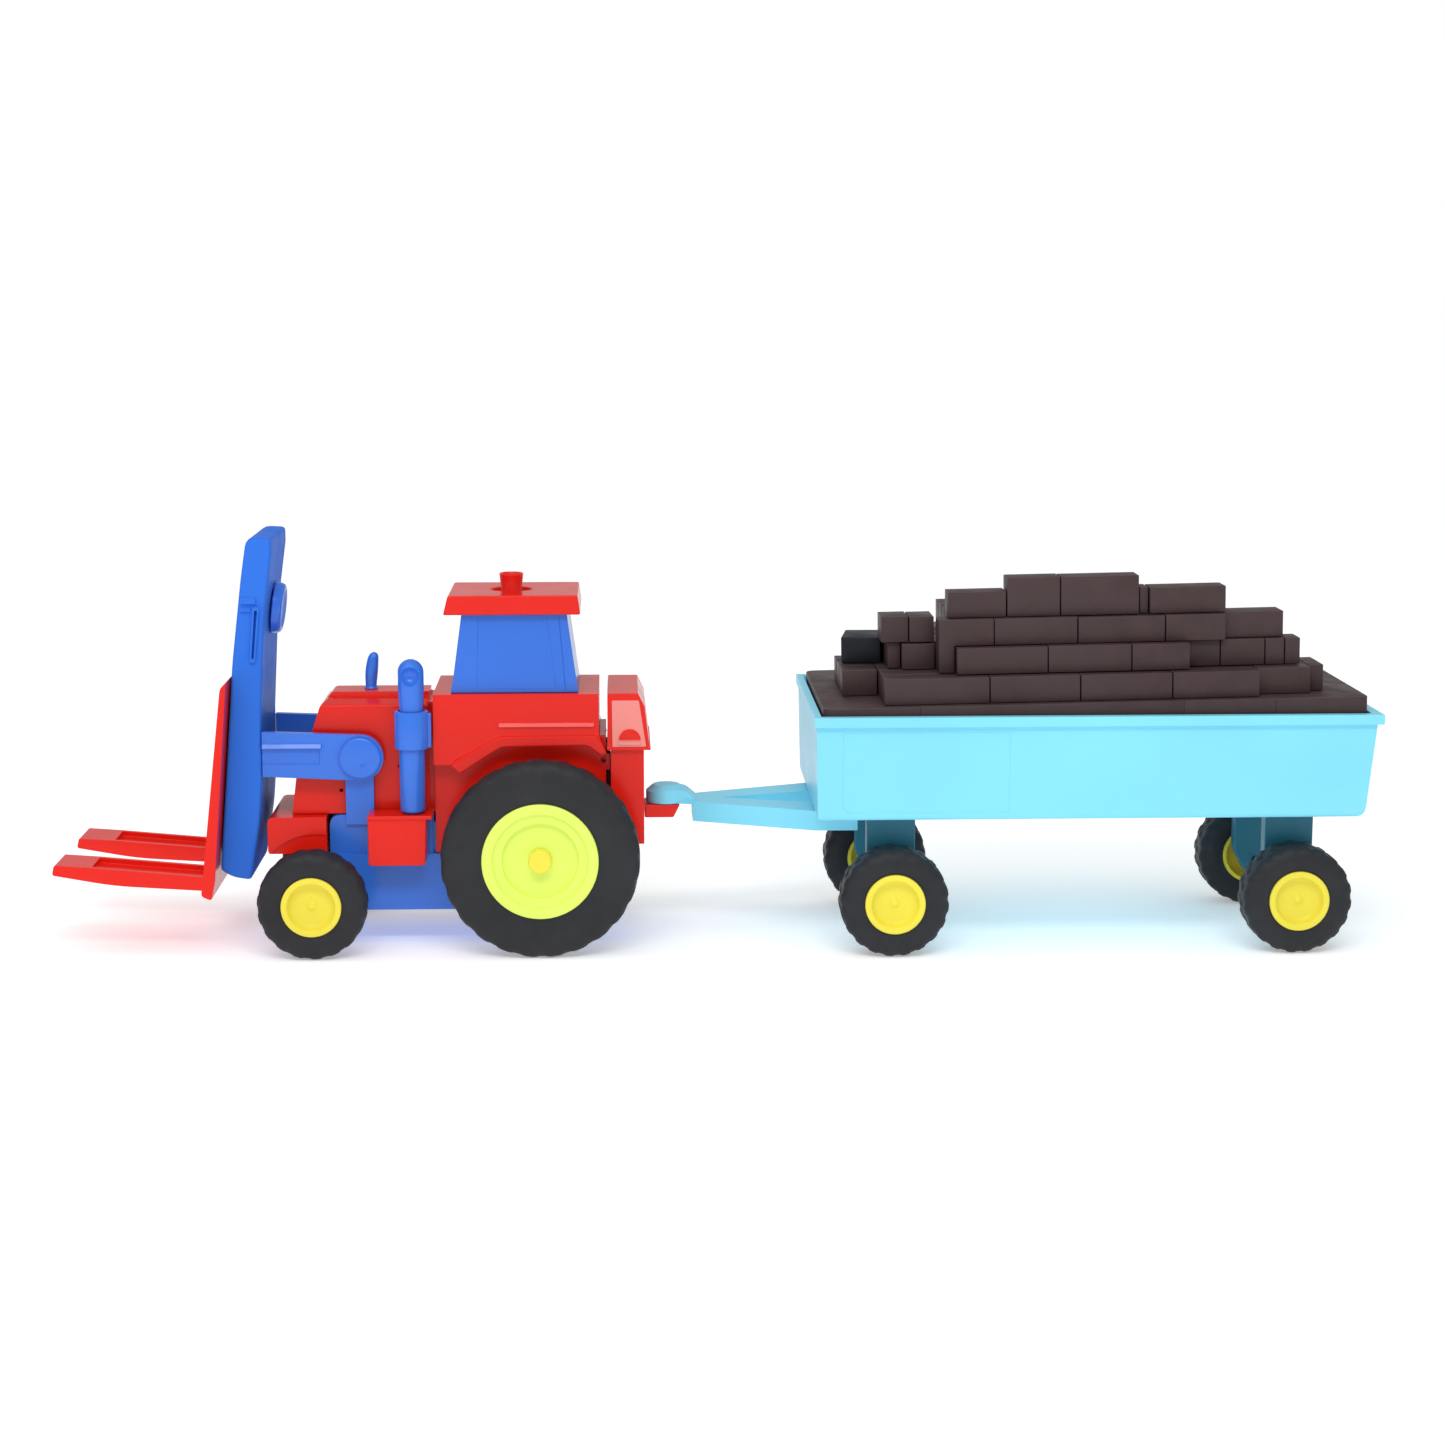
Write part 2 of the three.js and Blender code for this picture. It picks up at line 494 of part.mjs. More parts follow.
// Each tier is a row of strips: [right side, left side, start, end]. The stack is steep on
// its left, where the top course stands in a single row.
const TOP_ROW = [23, 23 + BRICK.depth];
const TIERS = [
  ['load_tier_1', 0, [
    [-24, 24, 11, 27.6], [-52, 53, 27.4, 195], [-44, 46, 194.8, 219.4], [16, 40, 219.2, 226.7],
  ]],
  ['load_tier_2', 1, [
    [-28, 28, 29.2, 60.7], [-46, 47, 60.5, 164.9], [-36, 38, 164.7, 209.3], [24, 38, 209.1, 216.5],
  ]],
  ['load_tier_3', 2, [
    [6, 26, 28.8, 53.3], [24, 41, 53.1, 60.7], [-38, 41, 60.5, 182], [20, 35, 181.8, 209.4],
  ]],
  ['load_tier_4_front', 3, [[...TOP_ROW, 57.7, 83.9]]],
  ['load_tier_4_rear', 3, [[...TOP_ROW, 144.2, 182.9]]],
];
const tierBottom = (level) => level * (BRICK.height + GAP) + GAP;
for (const [name, level, strips] of TIERS) {
  const blocks = strips.map(([right, left, start, end]) =>
    block(right, left, start, end, tierBottom(level), tierBottom(level) + BRICK.height));
  piece(name, BROWN(), blocks.reduce((whole, strip) => whole.add(strip)), load);
}
// The bricks of the crown stand on end.
piece('load_crown', BROWN(),
  block(...TOP_ROW, 84.2, 143.8, tierBottom(3), tierBottom(3) + BRICK.length), load);

load.position.set(0, LOAD.front, LOAD.top);
load.rotation.x = LOAD_TILT;
toy.add(load);

// ---------- centre the toy on the origin ----------

toy.position.y = -(TIP + TUB.rear) / 2;

const model = new THREE.Group();
model.add(toy);
export default model;
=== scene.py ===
import math
import random

import bmesh
import bpy
from mathutils import Matrix, Vector


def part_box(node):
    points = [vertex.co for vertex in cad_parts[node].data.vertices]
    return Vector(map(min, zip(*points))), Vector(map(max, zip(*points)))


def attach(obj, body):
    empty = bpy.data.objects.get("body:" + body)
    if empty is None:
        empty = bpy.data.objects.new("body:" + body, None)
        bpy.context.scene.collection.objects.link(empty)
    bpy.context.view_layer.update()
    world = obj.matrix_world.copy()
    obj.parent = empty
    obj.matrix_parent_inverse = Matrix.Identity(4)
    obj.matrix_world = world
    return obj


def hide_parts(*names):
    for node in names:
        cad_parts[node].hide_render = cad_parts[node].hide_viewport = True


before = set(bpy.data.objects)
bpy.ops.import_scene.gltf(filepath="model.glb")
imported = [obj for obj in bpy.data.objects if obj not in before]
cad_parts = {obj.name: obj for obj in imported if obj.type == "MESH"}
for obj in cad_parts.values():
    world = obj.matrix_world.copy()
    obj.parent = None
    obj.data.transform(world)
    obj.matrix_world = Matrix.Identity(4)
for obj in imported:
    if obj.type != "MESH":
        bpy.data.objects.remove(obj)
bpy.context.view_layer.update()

# Shapes are worked out in millimetres, with lengths along Y measured from the rear axle. They are
# turned into metres in the shared frame when a piece is made.
MM = 0.001
GAP = 0.3  # the room left between pieces of the CAD
TINY = 1e-6


def middle(node):
    """The middle of a CAD node's box, in metres."""
    low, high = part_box(node)
    return (low + high) / 2


AXLE = middle("rear_axle")
TO_WORLD = Matrix.Translation((0, AXLE.y, 0)) @ Matrix.Scale(MM, 4)
TO_LOCAL = TO_WORLD.inverted()


def local_box(node):
    """The low and high corners of a CAD node's box, in millimetres from the rear axle."""
    low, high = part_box(node)
    return TO_LOCAL @ low, TO_LOCAL @ high


# ---------- shapes ----------

SLOPE_BACK = 0.52  # how far a ledge's outer face leans back for each millimetre of its height


def outline(corners, steps=6):
    """A closed outline. Each corner is (across, up) or (across, up, set-back of its rounding)."""
    points = []
    for i, (across, up, *rounding) in enumerate(corners):
        here = Vector((across, up))
        if not rounding:
            points.append(here)
            continue
        before = Vector(corners[i - 1][:2]) - here
        after = Vector(corners[(i + 1) % len(corners)][:2]) - here
        enter = here + before.normalized() * rounding[0]
        leave = here + after.normalized() * rounding[0]
        for k in range(steps + 1):
            t = k / steps
            points.append(enter * (1 - t) ** 2 + here * 2 * t * (1 - t) + leave * t * t)
    return points


def ledge(start, end, foot, top, root, rise):
    """A rib along Y on a side face. Its outer face slopes back as it rises, so it faces up a little."""
    rise_at_top = rise - (top - foot) * SLOPE_BACK
    section = [(foot, root - 1), (foot, root + rise), (top, root + rise_at_top), (top, root - 1)]
    return prism(section, start, end, along="Y")


def circle(across, up, radius, steps=48, start=0.0, turn=2 * math.pi):
    """Points on an arc; a full circle leaves out the repeated last point."""
    full = abs(turn) > 2 * math.pi - TINY
    count = steps if full else steps + 1
    return [
        Vector((across + radius * math.cos(start + turn * k / steps),
                up + radius * math.sin(start + turn * k / steps)))
        for k in range(count)
    ]


PLACES = {
    "X": lambda a, b, along: (along, a, b),
    "Y": lambda a, b, along: (b, along, a),
    "Z": lambda a, b, along: (a, b, along),
}


def prism(points, start, end, along="X"):
    """A closed outline pushed straight from one plane to another."""
    form = bmesh.new()
    place = PLACES[along]
    near = [form.verts.new(place(p[0], p[1], start)) for p in points]
    far = [form.verts.new(place(p[0], p[1], end)) for p in points]
    form.faces.new(near[::-1])
    form.faces.new(far)
    for i in range(len(points)):
        j = (i + 1) % len(points)
        form.faces.new((near[i], near[j], far[j], far[i]))
    bmesh.ops.recalc_face_normals(form, faces=form.faces)
    return form


def block(x0, x1, y0, y1, z0, z1):
    """A plain block between two planes each way."""
    return prism([(y0, z0), (y1, z0), (y1, z1), (y0, z1)], x0, x1)


def turned(profile, centre, along="X", steps=64, closed=False):
    """A body of revolution. Profile points are (distance along the axis, radius)."""
    form = bmesh.new()
    place = PLACES[along]
    centre = Vector(centre)
    rings = []
    for distance, radius in profile:
        angles = [2 * math.pi * k / steps for k in range(steps if radius > TINY else 1)]
        rings.append([
            form.verts.new(centre + Vector(place(radius * math.cos(t), radius * math.sin(t), distance)))
            for t in angles
        ])
    bridge(form, rings, steps, closed)
    return form


def bridge(form, rings, steps, closed):
    """Faces between each ring of points and the next. A ring of one point closes the end."""
    pairs = zip(rings, rings[1:] + rings[:1]) if closed else zip(rings, rings[1:])
    for one, two in pairs:
        if len(one) == len(two) == 1:
            continue
        for i in range(steps):
            j = (i + 1) % steps
            corners = [one[i % len(one)], one[j % len(one)], two[j % len(two)], two[i % len(two)]]
            form.faces.new(list(dict.fromkeys(corners)))
    bmesh.ops.recalc_face_normals(form, faces=form.faces)


def rod(radius, start, end, centre, along="X", steps=40):
    """A straight round rod, which is also the shape of a drilled hole."""
    return turned([(start, 0), (start, radius), (end, radius), (end, 0)], centre, along, steps)


def merged(forms):
    """Several forms in one mesh, not joined."""
    whole = bmesh.new()
    for form in forms:
        mesh = bpy.data.meshes.new("part")
        form.to_mesh(mesh)
        form.free()
        whole.from_mesh(mesh)
        bpy.data.meshes.remove(mesh)
    return whole


def to_object(form):
    """A passing object, so that modifiers can work on a form."""
    mesh = bpy.data.meshes.new("form")
    form.to_mesh(mesh)
    form.free()
    made = bpy.data.objects.new("form", mesh)
    bpy.context.scene.collection.objects.link(made)
    return made


def combine(form, tools, operation):
    """The form with every tool cut out of it (DIFFERENCE) or added to it (UNION)."""
    body = to_object(form)
    made = [to_object(tool) for tool in tools]
    for tool in made:
        step = body.modifiers.new("step", "BOOLEAN")
        step.operation = operation
        step.solver = "EXACT"
        step.object = tool
    bpy.context.view_layer.update()
    shown = body.evaluated_get(bpy.context.evaluated_depsgraph_get())
    result = bmesh.new()
    result.from_mesh(shown.to_mesh())
    shown.to_mesh_clear()
    for o in [body, *made]:
        mesh = o.data
        bpy.data.objects.remove(o)
        bpy.data.meshes.remove(mesh)
    return tidied(result)


def cut(form, *tools):
    """The form with each tool taken out of it."""
    return combine(form, tools, "DIFFERENCE")


def join(form, *tools):
    """The form and each tool made into one solid."""
    return combine(form, tools, "UNION")


WELD = 0.002
SLIVER = 0.06
FLAT_ANGLE = math.radians(0.4)


def flattened(form, apart):
    """Points that are closer than a distance become one, and what is flat becomes one face."""
    bmesh.ops.remove_doubles(form, verts=form.verts, dist=apart)
    bmesh.ops.dissolve_limit(form, angle_limit=FLAT_ANGLE, verts=form.verts, edges=form.edges)


def tidied(form):
    """Whole flat faces, split only where they are concave, and no slivers that would stop a bevel."""
    flattened(form, WELD)
    flattened(form, SLIVER)
    bmesh.ops.connect_verts_concave(form, faces=form.faces)
    bmesh.ops.recalc_face_normals(form, faces=form.faces)
    return form


def cad_form(node):
    """A copy of a CAD node's solid, with its flat faces whole."""
    form = bmesh.new()
    form.from_mesh(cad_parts[node].data)
    form.transform(TO_LOCAL)
    return tidied(form)


def mirrored(form_of):
    """The same form on the left and on the right."""
    left = form_of()
    right = form_of()
    bmesh.ops.scale(right, vec=(-1, 1, 1), verts=right.verts)
    bmesh.ops.reverse_faces(right, faces=right.faces)
    return [left, right]


def leaned(form, angle, foot, across):
    """A form turned about a line along Y at a height, and then moved sideways."""
    turn = Matrix.Rotation(angle, 3, "Y")
    bmesh.ops.rotate(form, matrix=turn, verts=form.verts, cent=(0, 0, foot))
    bmesh.ops.translate(form, vec=(across, 0, 0), verts=form.verts)
    return form


SIDES = ("left", "right")
SMOOTH_ANGLE = math.radians(38)
BEVEL_ANGLE = math.radians(27)


def make(name, form, body, slot, nodes=(), bevel=0.0, segments=3, material=None):
    """Turns a form into a piece that rides on a body and stands for its CAD nodes."""
    form.transform(TO_WORLD)
    mesh = bpy.data.meshes.new(name)
    form.to_mesh(mesh)
    form.free()
    mesh.polygons.foreach_set("use_smooth", [True] * len(mesh.polygons))
    piece = bpy.data.objects.new(name, mesh)
    bpy.context.scene.collection.objects.link(piece)
    if bevel:
        rounding = piece.modifiers.new("rounded edges", "BEVEL")
        rounding.width = bevel * MM
        rounding.segments = segments
        rounding.limit_method = "ANGLE"
        rounding.angle_limit = BEVEL_ANGLE
        shading = piece.modifiers.new("even shading", "WEIGHTED_NORMAL")
        shading.keep_sharp = True
    else:
        mesh.set_sharp_from_angle(angle=SMOOTH_ANGLE)
    mesh.materials.append(material or FINISHES[slot])
    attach(piece, body)
    if nodes:
        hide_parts(*nodes)
    return piece


def moulding(node, form, body, slot, **settings):
    """The piece that stands for one CAD node."""
    return make(f"{node}_moulding", form, body, slot, [node], **settings)


def pair(node, form_of, body, slot, ending="moulding", **settings):
    """The left piece and its mirror image, which stand for the left and right CAD nodes."""
    for side, form in zip(SIDES, mirrored(form_of)):
        make(f"{node}_{side}_{ending}", form, body, slot, [f"{node}_{side}"], **settings)


# ---------- materials ----------

MIDDLE_BAND = (0.3, 0.7)  # where most of a noise's values lie
RUB_AND_HIGHLIGHT_WIDTH = 0.0006  # of the rubbed and lighter line along an edge, partly a painted highlight, in metres
TREAD_WIDTH = 0.0009


class Nodes:
    """A short way to add and link shader nodes."""

    def __init__(self, name):
        self.material = bpy.data.materials.new(name)
        self.material.use_nodes = True
        self.tree = self.material.node_tree
        self.shader = self.tree.nodes["Principled BSDF"]
        self.place = self.add("ShaderNodeTexCoord").outputs["Object"]

    def add(self, kind, **settings):
        """A new node. Each setting is one of its sockets or one of its properties."""
        node = self.tree.nodes.new(kind)
        for name, value in settings.items():
            if name in node.inputs:
                node.inputs[name].default_value = value
            else:
                setattr(node, name, value)
        return node

    def link(self, output, target):
        self.tree.links.new(output, target)

    def noise(self, scale, detail, roughness=0.5):
        """Noise with about this many features to the metre."""
        node = self.add("ShaderNodeTexNoise", Scale=scale, Detail=detail, Roughness=roughness)
        self.link(self.place, node.inputs["Vector"])
        return node.outputs["Fac"]

    def spread(self, value, low, high, to_low=0.0, to_high=1.0):
        """Maps a stretch of values to another, without going past its ends."""
        node = self.add("ShaderNodeMapRange")
        for name, number in zip(("From Min", "From Max", "To Min", "To Max"), (low, high, to_low, to_high)):
            node.inputs[name].default_value = number
        self.link(value, node.inputs["Value"])
        return node.outputs["Result"]

    def mix(self, share, one, two):
        """A colour between two, each of which is a plain colour or another node's output."""
        node = self.add("ShaderNodeMix", data_type="RGBA")
        self.link(share, node.inputs["Factor"])
        for socket, colour in (("A", one), ("B", two)):
            target = [s for s in node.inputs if s.name == socket and s.type == "RGBA"][0]
            if isinstance(colour, tuple):
                target.default_value = (*colour, 1)
            else:
                self.link(colour, target)
        return [s for s in node.outputs if s.type == "RGBA"][0]

    def upward(self):
        """1 on what faces up, and 0 on what faces sideways or down."""
        parts = self.add("ShaderNodeSeparateXYZ")
        shape = self.add("ShaderNodeNewGeometry")
        self.link(shape.outputs["Normal"], parts.inputs["Vector"])
        return self.spread(parts.outputs["Z"], 0.2, 0.8)

    def product(self, one, two):
        node = self.add("ShaderNodeMath", operation="MULTIPLY")
        self.link(one, node.inputs[0])
        self.link(two, node.inputs[1])
        return node.outputs["Value"]

    def edges(self, radius):
        """Near 1 on sharp edges, where a moulding is rubbed and where a painted highlight goes, and 0 on its
        faces.
        """
        rounded = self.add("ShaderNodeBevel", samples=4, Radius=radius)
        shape = self.add("ShaderNodeNewGeometry")
        match = self.add("ShaderNodeVectorMath", operation="DOT_PRODUCT")
        self.link(rounded.outputs["Normal"], match.inputs[0])
        self.link(shape.outputs["Normal"], match.inputs[1])
        return self.spread(match.outputs["Value"], 0.995, 0.8)

    def roughness(self, marks, low, high):
        """The surface's roughness goes between two values as a noise does."""
        self.link(self.spread(marks, *MIDDLE_BAND, low, high), self.shader.inputs["Roughness"])

    def bumps(self, *heights):
        """Adds bumps in turn; each is (height, distance in metres, strength)."""
        normal = None
        for height, distance, strength in heights:
            node = self.add("ShaderNodeBump", Distance=distance, Strength=strength)
            self.link(height, node.inputs["Height"])
            if normal:
                self.link(normal, node.inputs["Normal"])
            normal = node.outputs["Normal"]
        self.link(normal, self.shader.inputs["Normal"])


def shifted(colour, brightness, whiteness=0.0):
    """A colour made brighter or darker, with some white added."""
    return tuple(min(1.0, c * brightness + whiteness) for c in colour)


def plastic(name, colour, roughness, shine=0.3, rub_and_highlight_white=0.03, ripple=0.25):
    """Injection-moulded plastic: faint flow marks, a fine satin skin, soft waves, and edges that face up
    made lighter, partly rubbed and partly a painted highlight.
    """
    n = Nodes(name)
    flow = n.spread(n.noise(9, 4), *MIDDLE_BAND)
    cloudy = n.mix(flow, shifted(colour, 0.93), shifted(colour, 1.06))
    # Edges that face up are mixed towards a lighter colour: partly rubbed wear, partly a painted highlight
    # where light from above catches them.
    wear_and_highlight = n.product(n.edges(RUB_AND_HIGHLIGHT_WIDTH), n.upward())
    n.link(n.mix(wear_and_highlight, cloudy, shifted(colour, 1.08, rub_and_highlight_white)), n.shader.inputs["Base Color"])
    n.roughness(n.noise(60, 5, 0.6), roughness * 0.82, roughness * 1.2)
    n.bumps((n.noise(22, 2), 0.0006, ripple), (n.noise(900, 2), 0.00002, 0.05))
    n.shader.inputs["Specular IOR Level"].default_value = shine
    return n.material


def tyre_plastic(name, colour):
    """Matte black plastic with patches of dust, and tread edges made lighter, partly as polish and partly as
    a painted highlight.
    """
    n = Nodes(name)
    dust = n.spread(n.noise(35, 6, 0.65), 0.35, 0.75)
    base = n.mix(dust, colour, shifted(colour, 1.25, 0.004))
    # Tread edges are made lighter: partly polish, partly a painted highlight.
    polish_and_highlight = n.mix(n.edges(TREAD_WIDTH), base, shifted(colour, 2.0, 0.02))
    n.link(polish_and_highlight, n.shader.inputs["Base Color"])
    n.roughness(n.noise(90, 5), 0.42, 0.6)
    n.bumps((n.noise(30, 2), 0.0005, 0.3), (n.noise(1100, 4), 0.00006, 0.5))
    n.shader.inputs["Specular IOR Level"].default_value = 0.2
    return n.material


def brick_plastic(name, colour):
    """Satin brown plastic, a little mottled, with pale edges that face up, partly scuffed and partly a
    painted highlight.
    """
    n = Nodes(name)
    mottle = n.spread(n.noise(70, 6, 0.6), 0.3, 0.72)
    base = n.mix(mottle, shifted(colour, 0.86), shifted(colour, 1.18))
    patch = n.spread(n.noise(14, 2), 0.4, 0.7)
    warm = n.mix(patch, base, shifted(colour, 1.02, 0.006))
    # Edges that face up are made pale: partly scuffed, partly a painted highlight of light from above.
    scuffs_and_highlight = n.product(n.edges(RUB_AND_HIGHLIGHT_WIDTH), n.upward())
    n.link(n.mix(scuffs_and_highlight, warm, shifted(colour, 2.2, 0.07)), n.shader.inputs["Base Color"])
    n.roughness(n.noise(110, 4), 0.42, 0.6)
    n.bumps((n.noise(45, 3), 0.0004, 0.3), (n.noise(900, 5, 0.6), 0.00006, 0.4))
    n.shader.inputs["Specular IOR Level"].default_value = 0.3
    return n.material


def drawn_steel(name):
    """Bright wire with fine draw marks along it."""
    n = Nodes(name)
    n.shader.inputs["Metallic"].default_value = 1.0
    stretch = n.add("ShaderNodeMapping", Scale=(20, 900, 900))
    n.link(n.place, stretch.inputs["Vector"])
    n.place = stretch.outputs["Vector"]
    marks = n.noise(1, 4)
    shade = n.mix(n.spread(marks, *MIDDLE_BAND), DARK_STEEL, PALE_STEEL)
    n.link(shade, n.shader.inputs["Base Color"])
    n.roughness(marks, 0.22, 0.4)
    n.bumps((marks, 0.00004, 0.3))
    return n.material


RED = (0.81, 0.014, 0.006)
# A pale red: a painted highlight, the glare on the tail lamps' lenses.
PAINTED_GLARE_RED = (0.90, 0.26, 0.23)
BLUE = (0.038, 0.175, 0.74)
CYAN = (0.23, 0.74, 0.95)
# A darker cyan: painted shade for the brackets under the tub.
CYAN_IN_PAINTED_SHADE = (0.03, 0.17, 0.24)
YELLOW = (0.88, 0.76, 0.07)
LIME = (0.76, 0.93, 0.15)
TYRE = (0.022, 0.0225, 0.026)
BROWN = (0.056, 0.032, 0.034)
INK = (0.006, 0.008, 0.014)
DARK_STEEL = (0.5, 0.51, 0.53)
PALE_STEEL = (0.66, 0.67, 0.69)

FINISHES = {
    "red_plastic": plastic("red_plastic", RED, 0.20, shine=0.25),
    "blue_plastic": plastic("blue_plastic", BLUE, 0.20, shine=0.38),
    "cyan_plastic": plastic("cyan_plastic", CYAN, 0.34, shine=0.4),
    "yellow_plastic": plastic("yellow_plastic", YELLOW, 0.38, ripple=0.2),
    "lime_plastic": plastic("lime_plastic", LIME, 0.38, ripple=0.2),
    "tyre_black": tyre_plastic("tyre_black", TYRE),
    "brick_brown": brick_plastic("brick_brown", BROWN),
    "steel": drawn_steel("steel"),
}
INK_BRICK = brick_plastic("ink_brick", INK)
# The lenses are pale red as a painted highlight of glare.
LENS_WITH_PAINTED_GLARE = plastic("tail_lens_painted_glare", PAINTED_GLARE_RED, 0.3, shine=0.6, ripple=0.4)
# A darker copy of the cyan, painted shade for the brackets that sit in shadow under the tub.
SHADED_CYAN = plastic("shaded_cyan", CYAN_IN_PAINTED_SHADE, 0.38)
SATIN_BLUE = plastic("satin_blue", BLUE, 0.45, shine=0.02)


# ---------- wheels ----------

def smoothstep(low, high, value):
    """0 below a stretch of values and 1 above it, with a smooth rise between."""
    t = min(1.0, max(0.0, (value - low) / (high - low)))
    return t * t * (3 - 2 * t)


class Wheel:
    """A wheel's sizes, from its CAD tyre and hub, and the pattern of its tread."""

    def __init__(self, prefix, lugs, lug_height, steps, skew, hub_slot="yellow_plastic"):
        low, high = local_box(f"{prefix}_tyre_left")
        hub_low, hub_high = local_box(f"{prefix}_hub_left")
        self.prefix, self.body = prefix, f"{prefix}_wheelset"
        self.inner = low.x
        self.width = high.x - low.x
        self.radius = (high.z - low.z) / 2
        self.y, self.z = (low.y + high.y) / 2, self.radius
        self.hub = (hub_high.z - hub_low.z) / 2
        self.lugs, self.lug_height, self.steps = lugs, lug_height, steps
        self.hub_slot, self.skew = hub_slot, skew


def tread(wheel, angle, across):
    """1 on a tread block and 0 between blocks. The two rows of blocks are half a step apart."""
    half_step = 0.5 if across > 0.5 else 0.0
    slant = wheel.skew * abs(across - 0.5) * 2
    phase = (angle / (2 * math.pi) * wheel.lugs + slant + half_step) % 1.0
    rising, falling = (0.0, 0.2), (0.55, 0.75)
    return smoothstep(*rising, phase) * (1 - smoothstep(*falling, phase))


def tyre_form(wheel):
    """A tyre with bulging side walls and blocks of tread that run over its shoulders."""
    w, r, bead = wheel.width, wheel.radius, wheel.hub + 0.15
    depth = r - bead
    shoulder = 3.6
    wall = [(0.9, bead), (0.35, bead + 0.12 * depth), (0, bead + 0.4 * depth), (0.1, r - 5.5),
            (0.45, r - 3.8), (1.0, r - 2.4), (1.7, r - 1.3), (2.6, r - 0.5), (shoulder, r - 0.08)]
    columns = 13
    face = [(shoulder + (w - 2 * shoulder) * k / columns, r) for k in range(1, columns)]
    section = wall + face + [(w - along, radius) for along, radius in reversed(wall)]
    form = bmesh.new()
    rings = []
    for along, radius in section:
        height = wheel.lug_height * smoothstep(r - 5.4, r - 1.6, radius)
        ring = []
        for k in range(wheel.steps):
            angle = 2 * math.pi * k / wheel.steps
            here = radius - height * (1 - tread(wheel, angle, along / w))
            ring.append(form.verts.new((
                wheel.inner + along,
                wheel.y + here * math.cos(angle),
                wheel.z + here * math.sin(angle),
            )))
        rings.append(ring)
    bridge(form, rings, wheel.steps, closed=True)
    return form


def hub_form(wheel):
    """A moulded hub: a rim, a step, a dish, and a boss behind with a blind bore for the axle."""
    w, r = wheel.width, wheel.hub
    bore, boss = 2.3, 4.8
    if wheel is REAR:
        front = [(w - 0.1, r), (w + 0.3, r - 0.4), (w + 0.4, r - 0.9), (w + 0.25, 21.9), (w + 0.05, 21.5),
                 (w - 1.1, 21.1), (w - 1.4, 20.7), (w - 1.55, 17.7), (w - 1.8, 17.2), (w - 4.0, 16.8),
                 (w - 4.3, 16.4), (w - 4.4, 15.4), (w - 4.4, 6.5), (w - 4.4, 0)]
    else:
        front = [(w - 0.1, r), (w + 0.3, r - 0.35), (w + 0.4, r - 0.8), (w + 0.3, 11.2), (w + 0.05, 10.8),
                 (w - 2.6, 10.2), (w - 3.6, 9.5), (w - 4.1, 8.4), (w - 4.3, 6.0), (w - 4.3, 2.5),
                 (w - 4.0, 2.0), (w - 3.4, 1.3), (w - 3.2, 0.6), (w - 3.15, 0)]
    depth = w - 6.5
    back = [(depth, 0), (depth, bore), (0.5, bore), (0.5, boss), (w - 8, boss + 0.4), (w - 7.6, boss + 1),
            (w - 7.6, r - 2.6), (w - 8, r - 2.2), (1.2, r - 1.8), (1, r - 1.5), (1, r - 0.3), (1.3, r)]
    return turned([(wheel.inner + a, b) for a, b in back + front], (0, wheel.y, wheel.z), steps=96)


def cap_form(wheel):
    """The round cap in the middle of a rear hub, a little domed."""
    low, high = local_box("rear_cap_left")
    r = (high.z - low.z) / 2
    edge = [(high.x - 0.9, r), (high.x - 0.45, r - 0.15), (high.x - 0.15, r - 0.5)]
    dome = [(high.x - 0.02, r - 1.1), (high.x, r - 2.2), (high.x, 0)]
    profile = [(low.x, 0), (low.x, r), *edge, *dome]
    return turned(profile, (0, wheel.y, wheel.z), steps=48)


def fit_wheels(wheel):
    """Both tyres and hubs of one axle, and the axle's steel."""
    prefix = wheel.prefix
    pair(f"{prefix}_tyre", lambda: tyre_form(wheel), wheel.body, "tyre_black", ending="detailed")
    pair(f"{prefix}_hub", lambda: hub_form(wheel), wheel.body, wheel.hub_slot, ending="detailed")
    axle_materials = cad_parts[f"{prefix}_axle"].data.materials
    axle_materials.clear()
    axle_materials.append(FINISHES["steel"])


# The front wheels' hubs and the trailer's have the same dish. The rear wheels' hubs have a wider one.
FRONT = Wheel("front", lugs=18, lug_height=0.45, steps=216, skew=0.35)
REAR = Wheel("rear", lugs=24, lug_height=0.55, steps=312, skew=0.6, hub_slot="lime_plastic")
fit_wheels(FRONT)
fit_wheels(REAR)
for prefix in ("trailer_front", "trailer_rear"):
    fit_wheels(Wheel(prefix, lugs=20, lug_height=0.55, steps=240, skew=0.3))
pair("rear_cap", lambda: cap_form(REAR), REAR.body, "yellow_plastic", ending="detailed")


# ---------- chassis and front weight ----------

moulding("chassis", cad_form("chassis"), "tractor", "blue_plastic", bevel=0.6)


def front_weight_form():
    """A rounded block whose sides are hollowed a little over the front wheels."""
    low, high = local_box("front_weight")
    clearance, depth, past = 3.2, 1.0, 5
    arches = [
        prism(circle(FRONT.y, FRONT.z, FRONT.radius + clearance, 64), *span)
        for span in ((high.x - depth, high.x + past), (low.x - past, low.x + depth))
    ]
    return cut(cad_form("front_weight"), *arches)


moulding("front_weight", front_weight_form(), "tractor", "red_plastic", bevel=1.1, segments=4)


# ---------- hood ----------

def hood_form():
    """The hood with slots in its slanted grille and two small holes right through its sides."""
    low, high = local_box("hood")
    lowest, pitch, half_width, tall, depth = 70, 6.5, 11, 2.4, 1.6
    grille_foot, grille_lean = -113, 0.262
    slots = []
    for k in range(5):
        z = lowest + pitch * k
        front = grille_foot + (z - low.z) * grille_lean
        slots.append(block(-half_width, half_width, front - 2, front + depth, z, z + tall))
    hole_places = ((-64, 82), (-90.6, 71))
    holes = [rod(0.8, low.x - 1, high.x + 1, (0, y, z), steps=20) for y, z in hole_places]
    return cut(cad_form("hood"), *slots, *holes)


moulding("hood", hood_form(), "tractor", "red_plastic", bevel=0.6)


